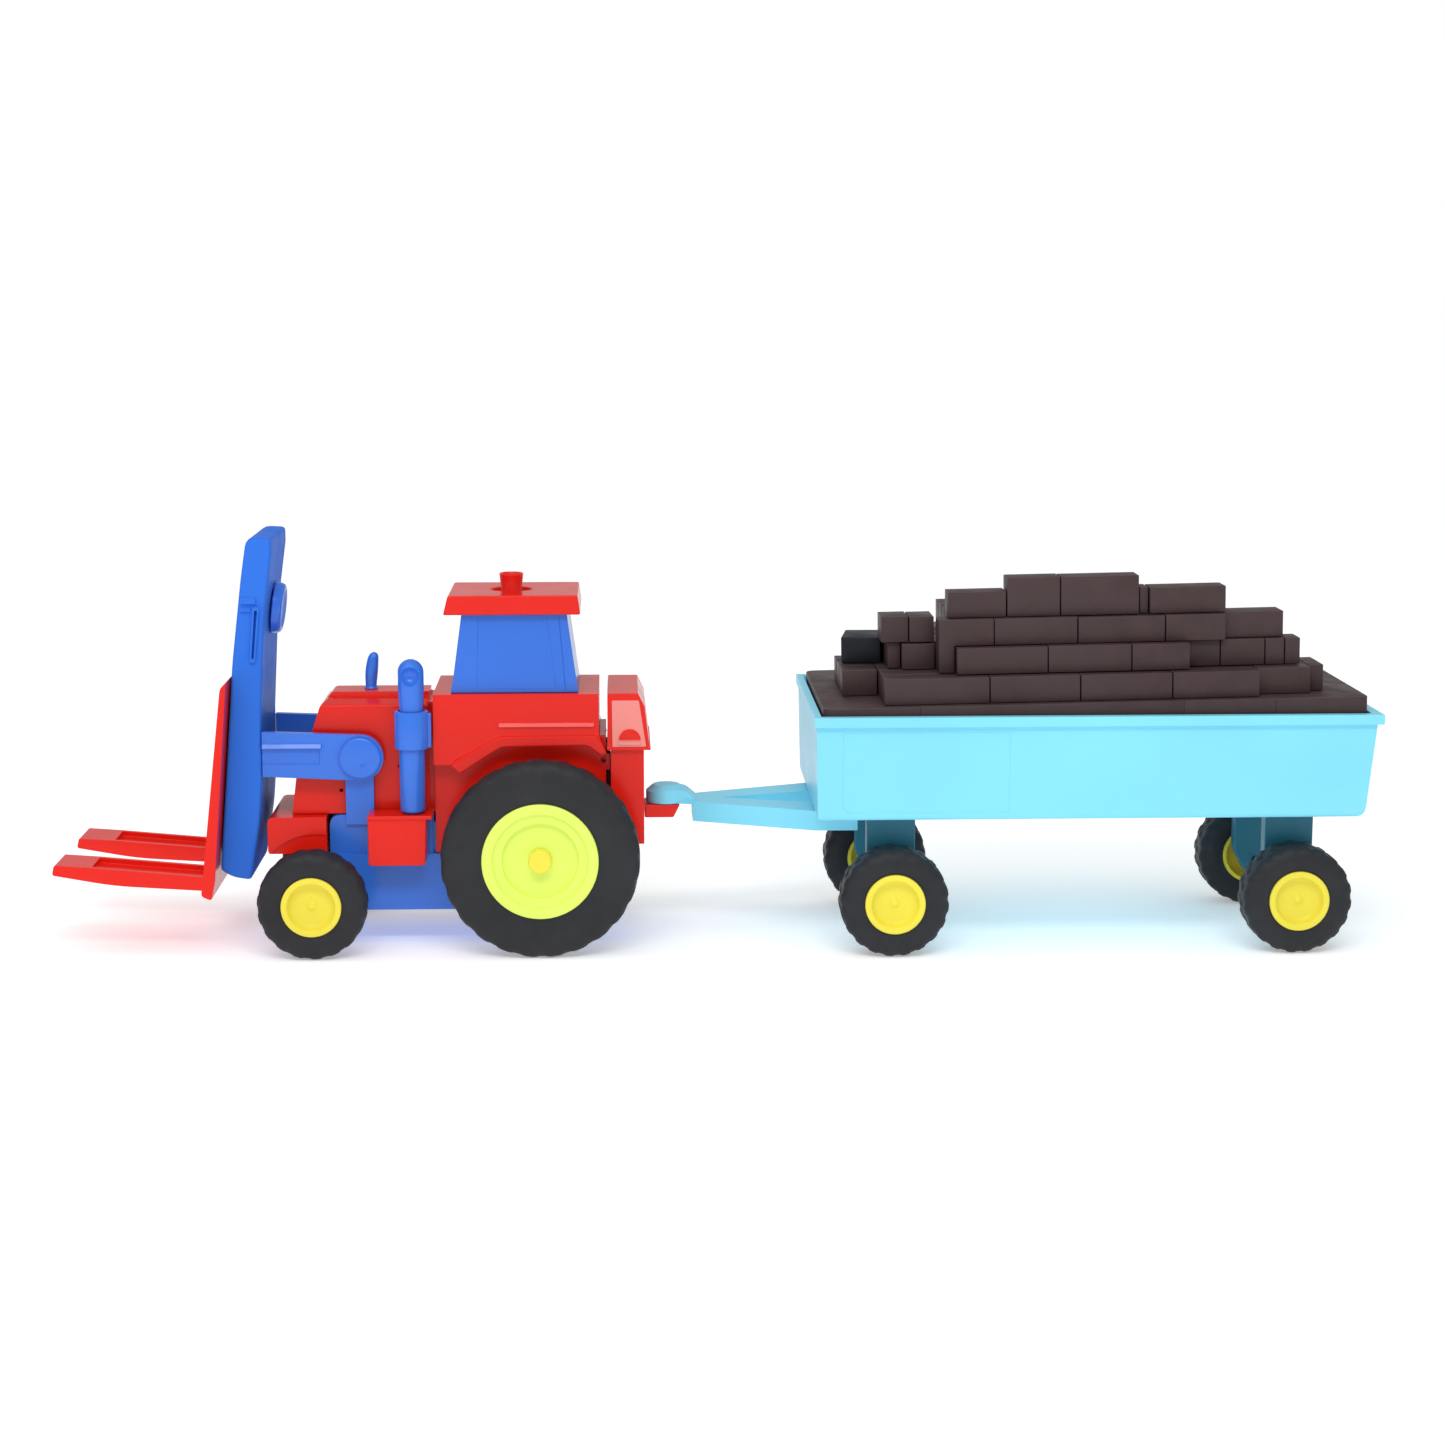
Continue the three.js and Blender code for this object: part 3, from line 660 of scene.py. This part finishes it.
def hood_pipe_form():
    """A slim pipe that leans back, swells in the middle and ends in a round top."""
    low, high = local_box("hood_pipe")
    y = (low.y + high.y) / 2 - 0.4
    height = high.z - low.z
    slim, swell, foot_flare, lean_at_top = 2.35, 0.55, 0.9, 1.7
    form = bmesh.new()
    rings = []
    steps, levels = 28, 22
    for k in range(levels + 1):
        t = k / levels
        top = max(0.0, (t - 0.82) / 0.18)
        radius = slim + swell * math.sin(math.pi * min(1, t * 1.1)) + foot_flare * math.exp(-t * 30)
        radius *= math.sqrt(max(0.0, 1 - top * top))
        centre = Vector((0, y + lean_at_top * t * t, low.z + height * t))
        count = steps if radius > 0.01 else 1
        rings.append([
            form.verts.new(centre + radius * Vector((math.cos(a), math.sin(a), 0)))
            for a in (2 * math.pi * i / steps for i in range(count))
        ])
    foot = form.verts.new((0, y, low.z))
    bridge(form, [[foot], *rings], steps, closed=False)
    return form


moulding("hood_pipe", hood_pipe_form(), "tractor", "blue_plastic")


# ---------- body, cab, roof and beacon ----------

BODY_SIDE = local_box("body_shell")[1].x
FLARE = 1.5  # how far the fender's flare stands out from the body's side
LUG_ACROSS = 21


def flare_form():
    """A flare that follows the wheel arch, thin at its upper edge and full at the arch."""
    edge = [(-40.2, 83.8), (-36.4, 80.1), (-17.4, 92.2, 2), (21, 92.7, 2), (27.2, 88.1), (29.7, 89.2)]
    crest = [(27.7, 94), (25.2, 97), (-17.6, 97, 2), (-38.5, 86)]
    form = prism(outline(edge + crest), BODY_SIDE - 1, BODY_SIDE + FLARE)
    bmesh.ops.bevel(
        form,
        geom=[e for e in form.edges if all(v.co.x > BODY_SIDE for v in e.verts)],
        offset=0.7, segments=3, affect="EDGES", profile=0.5,
    )
    return form


def rib_form():
    """A low rib along the side of the body, above the flare."""
    return ledge(-18.5, 24, foot=101.3, top=102.9, root=BODY_SIDE, rise=1.0)


def lug_form():
    """A small lug behind the arch, where the tail box hooks on."""
    side_view = outline([(27.6, 80), (31.2, 80), (31.2, 87.3, 1.5), (27.6, 87.8)])
    return prism(side_view, LUG_ACROSS - 1.3, LUG_ACROSS + 0.7)


def body_form():
    """The body with its flares, ribs and lugs, and a small hole through each lug."""
    raised = [form for form_of in (flare_form, rib_form, lug_form) for form in mirrored(form_of)]
    holes = [rod(1.15, x - 3, x + 3, (0, 28.3, 84.4), steps=24) for x in (-LUG_ACROSS, LUG_ACROSS)]
    return cut(join(cad_form("body_shell"), *raised), *holes)


make("body_moulding", body_form(), "tractor", "red_plastic", ["body_shell"], bevel=0.6)


def cab_form():
    """The cab with a shallow window panel in each side and seams beside its rear pillars."""
    low, high = local_box("cab")
    panel = [(-28.4, low.z + 2), (-27.6, high.z - 1.4), (3.4, high.z - 1.4), (7.3, low.z + 2)]
    seam = [(11.3, low.z + 1), (8.6, high.z - 1), (8.9, high.z - 1), (11.6, low.z + 1)]
    narrowing = 2  # how much nearer the middle each side is at the top
    slope = math.atan2(narrowing, high.z - low.z)
    tools = [
        tool
        for points, depth in ((panel, 0.35), (seam, 0.3))
        for tool in mirrored(lambda: leaned(prism(points, 0, 20), -slope, low.z, high.x - depth))
    ]
    return cut(cad_form("cab"), *tools)


moulding("cab", cab_form(), "tractor", "blue_plastic", bevel=0.45)
moulding("roof", cad_form("roof"), "tractor", "red_plastic", bevel=0.7)


def beacon_form():
    """The beacon widens upwards to a crisp rim with a shallow hollow in its top."""
    low, high = local_box("beacon")
    r = (high.x - low.x) / 2
    neck = [(low.z, 0), (low.z, r), (low.z + 0.6, r - 0.2), (low.z + 2.4, r - 0.75)]
    rim = [(high.z - 1.2, r - 0.1), (high.z - 0.5, r), (high.z - 0.1, r - 0.15), (high.z, r - 0.5)]
    hollow = [(high.z - 0.1, r - 1.0), (high.z - 0.7, r - 1.3), (high.z - 0.8, r - 2), (high.z - 0.8, 0)]
    centre = (0, (low.y + high.y) / 2, 0)
    return turned(neck + rim + hollow, centre, "Z", steps=64)


moulding("beacon", beacon_form(), "tractor", "red_plastic")


# ---------- steps, air stack and its collar ----------

for side in SIDES:
    moulding(f"step_box_{side}", cad_form(f"step_box_{side}"), "tractor", "red_plastic", bevel=0.7)

STACK_LOW, STACK_HIGH = local_box("air_stack")
STACK = (STACK_LOW + STACK_HIGH) / 2
STACK_RADIUS = (STACK_HIGH.x - STACK_LOW.x) / 2


def stack_form():
    """An upright pipe with a rounded foot, a domed top and an oval mouth scooped out of its side."""
    r, low, high = STACK_RADIUS, STACK_LOW.z, STACK_HIGH.z
    foot = [(low, 0), (low, r - 1.6), (low + 0.5, r - 0.7), (low + 1.5, r - 0.1)]
    neck = [(low + 28, r), (low + 47, r - 0.5), (low + 55, r)]
    steps = 12
    quarter = [math.pi / 2 * k / steps for k in range(steps)]
    dome = [(high - r + r * math.sin(t), r * math.cos(t)) for t in quarter]
    pipe = turned([*foot, *neck, *dome, (high, 0)], (STACK.x, STACK.y, 0), "Z", steps=64)
    mouth_size = (4.6, 4.5, 4.6)
    mouth_centre = (STACK.x + r + 0.9, STACK.y, high - 7.2)
    scoop = bmesh.new()
    bmesh.ops.create_uvsphere(scoop, u_segments=40, v_segments=24, radius=1)
    bmesh.ops.scale(scoop, vec=mouth_size, verts=scoop.verts)
    bmesh.ops.translate(scoop, vec=mouth_centre, verts=scoop.verts)
    return cut(pipe, scoop)


moulding("air_stack", stack_form(), "tractor", "blue_plastic")


def collar_form():
    """A ring round the pipe with a squared tab on its rear side."""
    low, high = local_box("air_stack_collar")
    outer = STACK.x - low.x
    inner = STACK_RADIUS + GAP
    ring = [(low.z, inner), (low.z, outer - 0.5), (low.z + 0.5, outer), (high.z - 0.9, outer),
            (high.z - 0.3, outer - 0.2), (high.z, outer - 0.7), (high.z, inner)]
    body = turned(ring, (STACK.x, STACK.y, 0), "Z", steps=64, closed=True)
    tab = block(STACK.x - 2, STACK.x + 2, STACK.y + outer - 1.2, high.y, low.z + 0.6, high.z - 1.2)
    bmesh.ops.bevel(tab, geom=list(tab.edges), offset=0.45, segments=3, affect="EDGES", profile=0.5)
    return join(body, tab)


moulding("air_stack_collar", collar_form(), "tractor", "blue_plastic")


# ---------- tail box, tow plate and hitch pin ----------

TAIL_LOW, TAIL_HIGH = local_box("tail_box")
LENS_RISE = 0.55
RELIEF_RISE = 1.2


def tail_relief_form():
    """A half-round relief, which stands up through the lamp's lens."""
    half_round = circle(40.2, 94.9, 4.9, steps=24, turn=math.pi)
    return prism(half_round, TAIL_HIGH.x - 1, TAIL_HIGH.x + RELIEF_RISE)


def lens_form():
    """The lamp's lens on the tail box's side, its pale colour a painted highlight of the glare on it, with a
    bar along its foot.
    """
    pane = outline([(32.4, 91.6, 0.6), (32.2, 112.8, 0.6), (44.4, 112.8, 0.6), (47.6, 91.6, 0.6)])
    bar = outline([(35, 92.6, 0.5), (35, 93.9, 0.5), (45.2, 93.9, 0.5), (45.2, 92.6, 0.5)])
    behind = TAIL_HIGH.x - 1
    return join(prism(pane, behind, TAIL_HIGH.x + LENS_RISE), prism(bar, behind, TAIL_HIGH.x + RELIEF_RISE))


def tail_form():
    """The tail box with a lip all round under its lamps, and the reliefs of the lamps."""
    past = 0.9
    lip = block(TAIL_LOW.x - past, TAIL_HIGH.x + past, 29.9, 49.6, 90.2, 91.5)
    return join(cad_form("tail_box"), lip, *mirrored(tail_relief_form))


moulding("tail_box", tail_form(), "tractor", "red_plastic", bevel=0.5)
# Each lens is pale as a painted highlight of the glare on it.
for side, form in zip(SIDES, mirrored(lens_form)):
    make(f"tail_lens_{side}", form, "tractor", "red_plastic", bevel=0.25, material=LENS_WITH_PAINTED_GLARE)
moulding("tow_plate", cad_form("tow_plate"), "tractor", "red_plastic", bevel=0.6)


def pin_form():
    """The upright hitch pin, with a rounded top."""
    low, high = local_box("hitch_pin")
    r = (high.x - low.x) / 2
    top = [(high.z - 1.4, r), (high.z - 0.4, r - 0.7), (high.z, r - 1.6), (high.z, 0)]
    return turned([(low.z, 0), (low.z, r), *top], (0, (low.y + high.y) / 2, 0), "Z", steps=32)


moulding("hitch_pin", pin_form(), "tractor", "red_plastic")


# ---------- loader ----------

PIVOT_LOW, PIVOT_HIGH = local_box("pivot_pin_left")
PIVOT = (PIVOT_LOW + PIVOT_HIGH) / 2


def arm_form():
    """A loader arm: a round end at the pivot, and a rib above a shallow recess towards the mast."""
    low, high = local_box("loader_arm_left")
    r = 10.4
    lower_corner, upper_corner = (low.y, PIVOT.z - r + 2), (low.y, PIVOT.z + r + 1.6)
    end = circle(PIVOT.y, PIVOT.z, r, 40, -math.pi / 2, math.pi)
    arm = prism([lower_corner, *end, upper_corner], low.x, high.x)
    rib = ledge(low.y, -98.2, foot=91.9, top=94.0, root=high.x, rise=1.6)
    hollow = outline([(low.y - 1, 84.8), (low.y - 1, 91.9), (-99.2, 91.4, 1), (-99.2, 84.3, 1)])
    recess = prism(hollow, high.x - 0.7, high.x + 3)
    hole = rod(4 + GAP, low.x - 2, high.x + 2, (0, PIVOT.y, PIVOT.z), steps=32)
    return cut(join(arm, rib), recess, hole)


def pivot_form():
    """A pivot pin: a shank and a broad, slightly domed head with a small dimple."""
    inner, outer, shank_radius = PIVOT_LOW.x, PIVOT_HIGH.x, 4
    shank = [(inner, 0), (inner, 3.4), (inner + 0.6, shank_radius), (outer - 1.9, shank_radius)]
    head = [(outer - 1.9, 8.9), (outer - 1.6, 9.4), (outer - 0.7, 9.4), (outer - 0.2, 9.0), (outer, 8.2),
            (outer + 0.1, 0)]
    pin = turned(shank + head, (0, PIVOT.y, PIVOT.z), steps=72)
    dimple_centre = (outer + 1.55, PIVOT.y + 1.6, PIVOT.z - 3.6)
    dimple = bmesh.new()
    bmesh.ops.create_uvsphere(dimple, u_segments=24, v_segments=16, radius=2)
    bmesh.ops.translate(dimple, vec=dimple_centre, verts=dimple.verts)
    return cut(pin, dimple)


pair("loader_arm", arm_form, "loader", "blue_plastic", bevel=0.5)
pair("pivot_pin", pivot_form, "loader", "blue_plastic")

MAST_SIDE = local_box("mast")[1].x
MAST_LEAN = 0.0835  # how far the mast leans back for each millimetre of height
MAST_FOOT = (-145, 36)  # its lower front corner, as (along Y, up)


def slot_outline(edge, foot, top, foot_width, top_width, rounding):
    """A long narrow outline that leans with the mast, wider at its top."""
    shift = (top - foot) * MAST_LEAN
    return outline([
        (edge, foot, rounding), (edge + shift, top, rounding),
        (edge + top_width + shift, top, rounding), (edge + foot_width, foot, rounding),
    ])


def mast_slot_form():
    """A raised ring round the long slot near the mast's rear edge."""
    return prism(slot_outline(-129.2, 131, 156, 2.6, 3, 1), MAST_SIDE - 1, MAST_SIDE + 1.3)


def mast_slot_hole():
    """The slot itself, cut through the ring and into the mast."""
    return prism(slot_outline(-128.2, 132.6, 154.4, 1, 1.3, 0.5), MAST_SIDE - 1.6, MAST_SIDE + 3)


def mast_bar_form():
    """Two short bars across the mast's side, by the top of the slot. The lower one is shorter."""
    upper, lower = [
        ledge(front, rear, z - rise * 0.8, z + rise * 0.8, MAST_SIDE, rise)
        for front, rear, z, rise in ((-132.4, -125.9, 158.8, 1.6), (-132.8, -128.2, 154.8, 1.1))
    ]
    return join(upper, lower)


def side_outline(node):
    """The outline of a node's left side, as points (along Y, up) in anticlockwise order."""
    form = bmesh.new()
    form.from_mesh(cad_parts[node].data)
    form.transform(TO_LOCAL)
    flattened(form, WELD)
    side = max((f for f in form.faces if f.normal.x > 0.9), key=lambda f: f.calc_area())
    points = [Vector((v.co.y, v.co.z)) for v in side.verts]
    form.free()
    return points


def inset(points, distance):
    """An anticlockwise outline moved inwards."""
    moved = []
    for i, here in enumerate(points):
        before = (here - points[i - 1]).normalized()
        after = (points[(i + 1) % len(points)] - here).normalized()
        inwards = Vector((-before.y - after.y, before.x + after.x)).normalized()
        stretch = 1 / max(0.5, inwards.dot(Vector((-after.y, after.x))))
        moved.append(here + inwards * distance * stretch)
    return moved


def mast_post_form():
    """The mast's side outline pushed across, with its outer rims rounded over."""
    rim, steps = 1.7, 6
    points = side_outline("mast")
    quarter = [math.pi / 2 * k / steps for k in range(steps, -1, -1)]
    right_half = [(-MAST_SIDE + rim * (1 - math.sin(t)), rim * (1 - math.cos(t))) for t in quarter]
    levels = right_half + [(-across, back) for across, back in reversed(right_half)]
    form = bmesh.new()
    rings = [[form.verts.new((across, p.x, p.y)) for p in inset(points, back)] for across, back in levels]
    form.faces.new(rings[0])
    form.faces.new(rings[-1])
    bridge(form, rings, len(points), closed=False)
    return form


def mast_front(z):
    """Where the mast's front face is at a height."""
    return MAST_FOOT[0] + (z - MAST_FOOT[1]) * MAST_LEAN


def mast_channel_form():
    """The channel in the mast's front that the fork's runner slides in."""
    foot, top, depth, half_width, past = 20, 178, 6, 20, 8
    section = [(mast_front(foot) - past, foot), (mast_front(foot) + depth, foot),
               (mast_front(top) + depth, top), (mast_front(top) - past, top)]
    return prism(section, -half_width, half_width)


def mast_form():
    """The mast with its slot ring and bars, and with its channel and slots cut out."""
    raised = [form for form_of in (mast_slot_form, mast_bar_form) for form in mirrored(form_of)]
    return cut(join(mast_post_form(), *raised), mast_channel_form(), *mirrored(mast_slot_hole))


moulding("mast", mast_form(), "loader", "blue_plastic", bevel=0.55, segments=4, material=SATIN_BLUE)


def grip_form():
    """A round grip on the back of the mast, with a rolled rim and a shallow dish."""
    tilt, centre = -0.118, (0, -118.9, 152)
    r, back = 12, 2.2
    side = [(-back, 0), (-back, r - 0.4), (-back + 0.4, r), (back - 1.6, r - 0.6), (back - 0.5, r - 1.1)]
    dish = [(back, r - 2), (back - 0.2, r - 3), (back - 1, r - 4), (back - 1.2, 0)]
    form = turned(side + dish, (0, 0, 0), "Y", steps=64)
    bmesh.ops.rotate(form, matrix=Matrix.Rotation(tilt, 3, "X"), verts=form.verts, cent=(0, 0, 0))
    bmesh.ops.translate(form, vec=centre, verts=form.verts)
    return form


moulding("mast_grip", grip_form(), "loader", "blue_plastic")
make("fork_moulding", cad_form("fork_carriage"), "fork", "red_plastic", ["fork_carriage"], bevel=0.6)


# ---------- trailer ----------

TUB_LOW, TUB_HIGH = local_box("trailer_tub")


def tub_panel_form():
    """The shallow moulded panel of the tub's side."""
    widening = 3  # how much further out each side is at the top
    lean = math.atan2(widening, TUB_HIGH.z - TUB_LOW.z)
    panel = outline([(134, 66.5, 5), (134, 103.4, 1), (208, 103.4, 1), (208, 66.5, 1)], steps=4)
    bottom_inside_rim = 5.4
    return leaned(prism(panel, 0, 10), lean, TUB_LOW.z, TUB_HIGH.x - bottom_inside_rim)


def tub_form():
    """The tub with a panel in each side."""
    return cut(cad_form("trailer_tub"), *mirrored(tub_panel_form))


moulding("trailer_tub", tub_form(), "trailer", "cyan_plastic", bevel=0.5)
moulding("drawbar", cad_form("drawbar"), "trailer", "cyan_plastic", bevel=0.8, segments=4)
# The brackets take a darker cyan, painted shade for where they sit in the tub's shadow.
for node in ("trailer_bracket_front", "trailer_bracket_rear"):
    moulding(node, cad_form(node), "trailer", "cyan_plastic", bevel=0.6, material=SHADED_CYAN)


# ---------- load ----------

LOAD_TILT = 0.0185  # radians
BASE_FRONT, BASE_TOP = 125.3, 113
TO_LOAD = Matrix.Translation((0, BASE_FRONT, BASE_TOP)) @ Matrix.Rotation(LOAD_TILT, 4, "X")
BRICK_HEIGHT = 11.75
COURSE = BRICK_HEIGHT + GAP
BRICK_LENGTH = 17.6
BRICK_DEPTH = 14
SEAM = 0.28
BRICK_ROUNDING = 0.22
dice = random.Random(7)


def softened(form, offset):
    """Every edge of a brick is rounded a little."""
    sharp = 0.6
    rims = [e for e in form.edges if e.calc_face_angle(0) > sharp]
    bmesh.ops.bevel(form, geom=rims, offset=offset, segments=2, affect="EDGES", profile=0.5)
    return form


def settled(form, centre):
    """A brick is laid a little off true, on the tilted board."""
    turn = Matrix.Rotation(dice.uniform(-0.005, 0.005), 3, "Z")
    bmesh.ops.rotate(form, matrix=turn, verts=form.verts, cent=centre)
    form.transform(TO_LOAD)
    return form


def brick(x0, x1, y0, y1, z0, z1):
    """One brick between its seams, a little lower than its course at random."""
    form = block(x0 + SEAM, x1 - SEAM, y0 + SEAM, y1 - SEAM, z0, z1 - dice.uniform(0, 0.3))
    return settled(softened(form, BRICK_ROUNDING), ((x0 + x1) / 2, (y0 + y1) / 2, z0))


def course(right, left, joints, bottom):
    """Rows of bricks side by side across the load, with the same joints in every row."""
    rows = max(1, round((left - right) / BRICK_DEPTH))
    step = (left - right) / rows
    return [
        brick(right + row * step, right + (row + 1) * step, start, end, bottom, bottom + BRICK_HEIGHT)
        for row in range(rows)
        for start, end in zip(joints, joints[1:])
    ]


# Each tier is a list of strips: (right side, left side, the joints along it).
TOP_ROW = (23, 37)
TIERS = {
    "load_tier_1": (0, [
        (-24, 24, (11, 27.3)), (-52, 53, (27.4, 74.5, 114.8, 155.9, 195)), (-44, 46, (195, 219.4)),
        (16, 40, (219.4, 226.7)),
    ]),
    "load_tier_2": (1, [
        (-23, 22.5, (31.8, 37.9)), (-28, 28, (37.9, 53)), (-28, 24, (53, 60.4)),
        (-46, 47, (60.5, 101.3, 138.7, 164.9)), (-36, 38, (164.9, 180.2, 200.4, 209.3)),
        (24, 38, (209.3, 216.5)),
    ]),
    "load_tier_3": (2, [
        (6, 25, (28.8, 41.4)), (6, 26, (41.4, 53)), (-38, 27.8, (60.5, 78, 115.5, 154.8, 182)),
        (27.8, 41, (78, 115.5, 154.8, 182)), (20, 35, (182.1, 209.4)),
    ]),
    "load_tier_4_front": (3, [(*TOP_ROW, (57.7, 84.1))]),
    "load_tier_4_rear": (3, [(22, 35, (144, 148.3)), (*TOP_ROW, (148.3, 182.9))]),
}
for node, (level, strips) in TIERS.items():
    bricks = [b for right, left, joints in strips for b in course(right, left, joints, level * COURSE + GAP)]
    make(f"{node}_bricks", merged(bricks), "load", "brick_brown", [node])


def stepped_brick():
    """The near corner brick of the third course, which also fills the end of the course below."""
    foot, step, top = COURSE + GAP, 2 * COURSE + GAP, 2 * COURSE + GAP + BRICK_HEIGHT
    shape = [(53.3, foot), (60.2, foot), (60.2, step), (77.8, step), (77.8, top), (53.3, top)]
    return settled(softened(prism(shape, 28.1, 40.8), BRICK_ROUNDING), (34, 65, foot))


make("load_stepped_brick", stepped_brick(), "load", "brick_brown")

# The crown's bricks are as tall as the others are long.
CROWN_FOOT = 3 * COURSE + GAP
crown = [
    brick(*TOP_ROW, start, end, CROWN_FOOT, CROWN_FOOT + BRICK_LENGTH)
    for start, end in ((84.2, 108.3), (108.3, 143.8))
]
make("load_crown_bricks", merged(crown), "load", "brick_brown", ["load_crown"])


def ink_brick():
    """A nearly black brick, turned a little, that lies on the front end of the first course."""
    form = softened(block(-22, 4, 12.4, 30.4, COURSE + GAP, COURSE + GAP + BRICK_HEIGHT), 0.3)
    bmesh.ops.rotate(form, matrix=Matrix.Rotation(-0.16, 3, "Z"), verts=form.verts, cent=(4, 21, 0))
    form.transform(TO_LOAD)
    return form


make("load_ink_brick", ink_brick(), "load", "brick_brown", material=INK_BRICK)


def base_form():
    """The board under the bricks: slabs side by side, with the board's outer corners rounded."""
    half, depth = local_box("load_base")[1].x, 14.3
    joints = (0, 43, 160, 201, 242.3)
    slabs = []
    for start, end in zip(joints, joints[1:]):
        front = [5] if start == joints[0] else []
        rear = [3] if end == joints[-1] else []
        points = [(half, start, *front), (half, end, *rear), (-half, end, *rear), (-half, start, *front)]
        slab = softened(prism(outline(points), -depth, 0, along="Z"), 0.3)
        slab.transform(TO_LOAD)
        slabs.append(slab)
    return merged(slabs)


make("load_base_board", base_form(), "load", "brick_brown", ["load_base"])


# ---------- floor, light and camera ----------

FLOOR_DROP = 0.0002
FLOOR_GLOW = 0.32  # keeps the floor as white as the room behind it
ROOM_LIGHT = 0.51
SUN_AIM, SUN_STRENGTH, SUN_SPREAD = (-0.45, 0.25, -1), 0.72, math.radians(60)
KEY_PLACE, KEY_AIM, KEY_SIZE, KEY_POWER = (1.15, 0, 1.2), (0, 0, 0.06), (1.1, 0.28), 7.2
CAMERA_PLACE = (1245, 36.2, 310.2)
CAMERA_AIM = (-0.98506, 0.03712, -0.16815)
CAMERA_LENS = 68.25


def floor():
    """A white sheet just under the wheels."""
    form = bmesh.new()
    bmesh.ops.create_grid(form, x_segments=1, y_segments=1, size=12)
    mesh = bpy.data.meshes.new("floor")
    form.to_mesh(mesh)
    form.free()
    made = bpy.data.objects.new("floor", mesh)
    made.location.z = -FLOOR_DROP
    bpy.context.scene.collection.objects.link(made)
    paper = bpy.data.materials.new("white_paper")
    paper.use_nodes = True
    shader = paper.node_tree.nodes["Principled BSDF"]
    shader.inputs["Base Color"].default_value = (0.97, 0.97, 0.97, 1)
    shader.inputs["Roughness"].default_value = 0.9
    shader.inputs["Specular IOR Level"].default_value = 0.1
    shader.inputs["Emission Color"].default_value = (1, 1, 1, 1)
    shader.inputs["Emission Strength"].default_value = FLOOR_GLOW
    mesh.materials.append(paper)


def softbox(place, aim, size, power):
    """A broad lamp above and to the toy's left, which brightens what faces up and to the left."""
    light = bpy.data.lights.new("key", "AREA")
    light.shape = "RECTANGLE"
    light.size, light.size_y = size
    light.energy = power
    made = bpy.data.objects.new("key", light)
    made.location = place
    made.rotation_mode = "QUATERNION"
    made.rotation_quaternion = (Vector(aim) - Vector(place)).to_track_quat("-Z", "Y")
    bpy.context.scene.collection.objects.link(made)


def camera():
    """The toy from its left side, a little from the rear and above."""
    lens = bpy.data.cameras.new("camera")
    lens.sensor_width = 36
    lens.lens = CAMERA_LENS
    lens.clip_start, lens.clip_end = 0.02, 60
    made = bpy.data.objects.new("camera", lens)
    made.location = TO_WORLD @ Vector(CAMERA_PLACE)
    made.rotation_mode = "QUATERNION"
    made.rotation_quaternion = Vector(CAMERA_AIM).to_track_quat("-Z", "Y")
    bpy.context.scene.collection.objects.link(made)
    bpy.context.scene.camera = made


def sky():
    """An even white room that lights the toy softly and shows as white behind it."""
    world = bpy.data.worlds.new("studio")
    world.use_nodes = True
    nodes, links = world.node_tree.nodes, world.node_tree.links
    back = nodes["Background"]
    back.inputs["Color"].default_value = (1, 1, 1, 1)
    path = nodes.new("ShaderNodeLightPath")
    strength = nodes.new("ShaderNodeMapRange")
    strength.inputs["To Min"].default_value = ROOM_LIGHT
    strength.inputs["To Max"].default_value = 1.0
    links.new(path.outputs["Is Camera Ray"], strength.inputs["Value"])
    links.new(strength.outputs["Result"], back.inputs["Strength"])
    bpy.context.scene.world = world


def sun(aim, strength, spread):
    """Even light from far away, with shadows as soft as its spread."""
    light = bpy.data.lights.new("sun", "SUN")
    light.energy = strength
    light.angle = spread
    made = bpy.data.objects.new("sun", light)
    made.rotation_mode = "QUATERNION"
    made.rotation_quaternion = Vector(aim).to_track_quat("-Z", "Y")
    bpy.context.scene.collection.objects.link(made)


floor()
sun(SUN_AIM, SUN_STRENGTH, SUN_SPREAD)
softbox(KEY_PLACE, KEY_AIM, KEY_SIZE, KEY_POWER)
camera()
sky()
bpy.context.scene.view_settings.view_transform = "Standard"
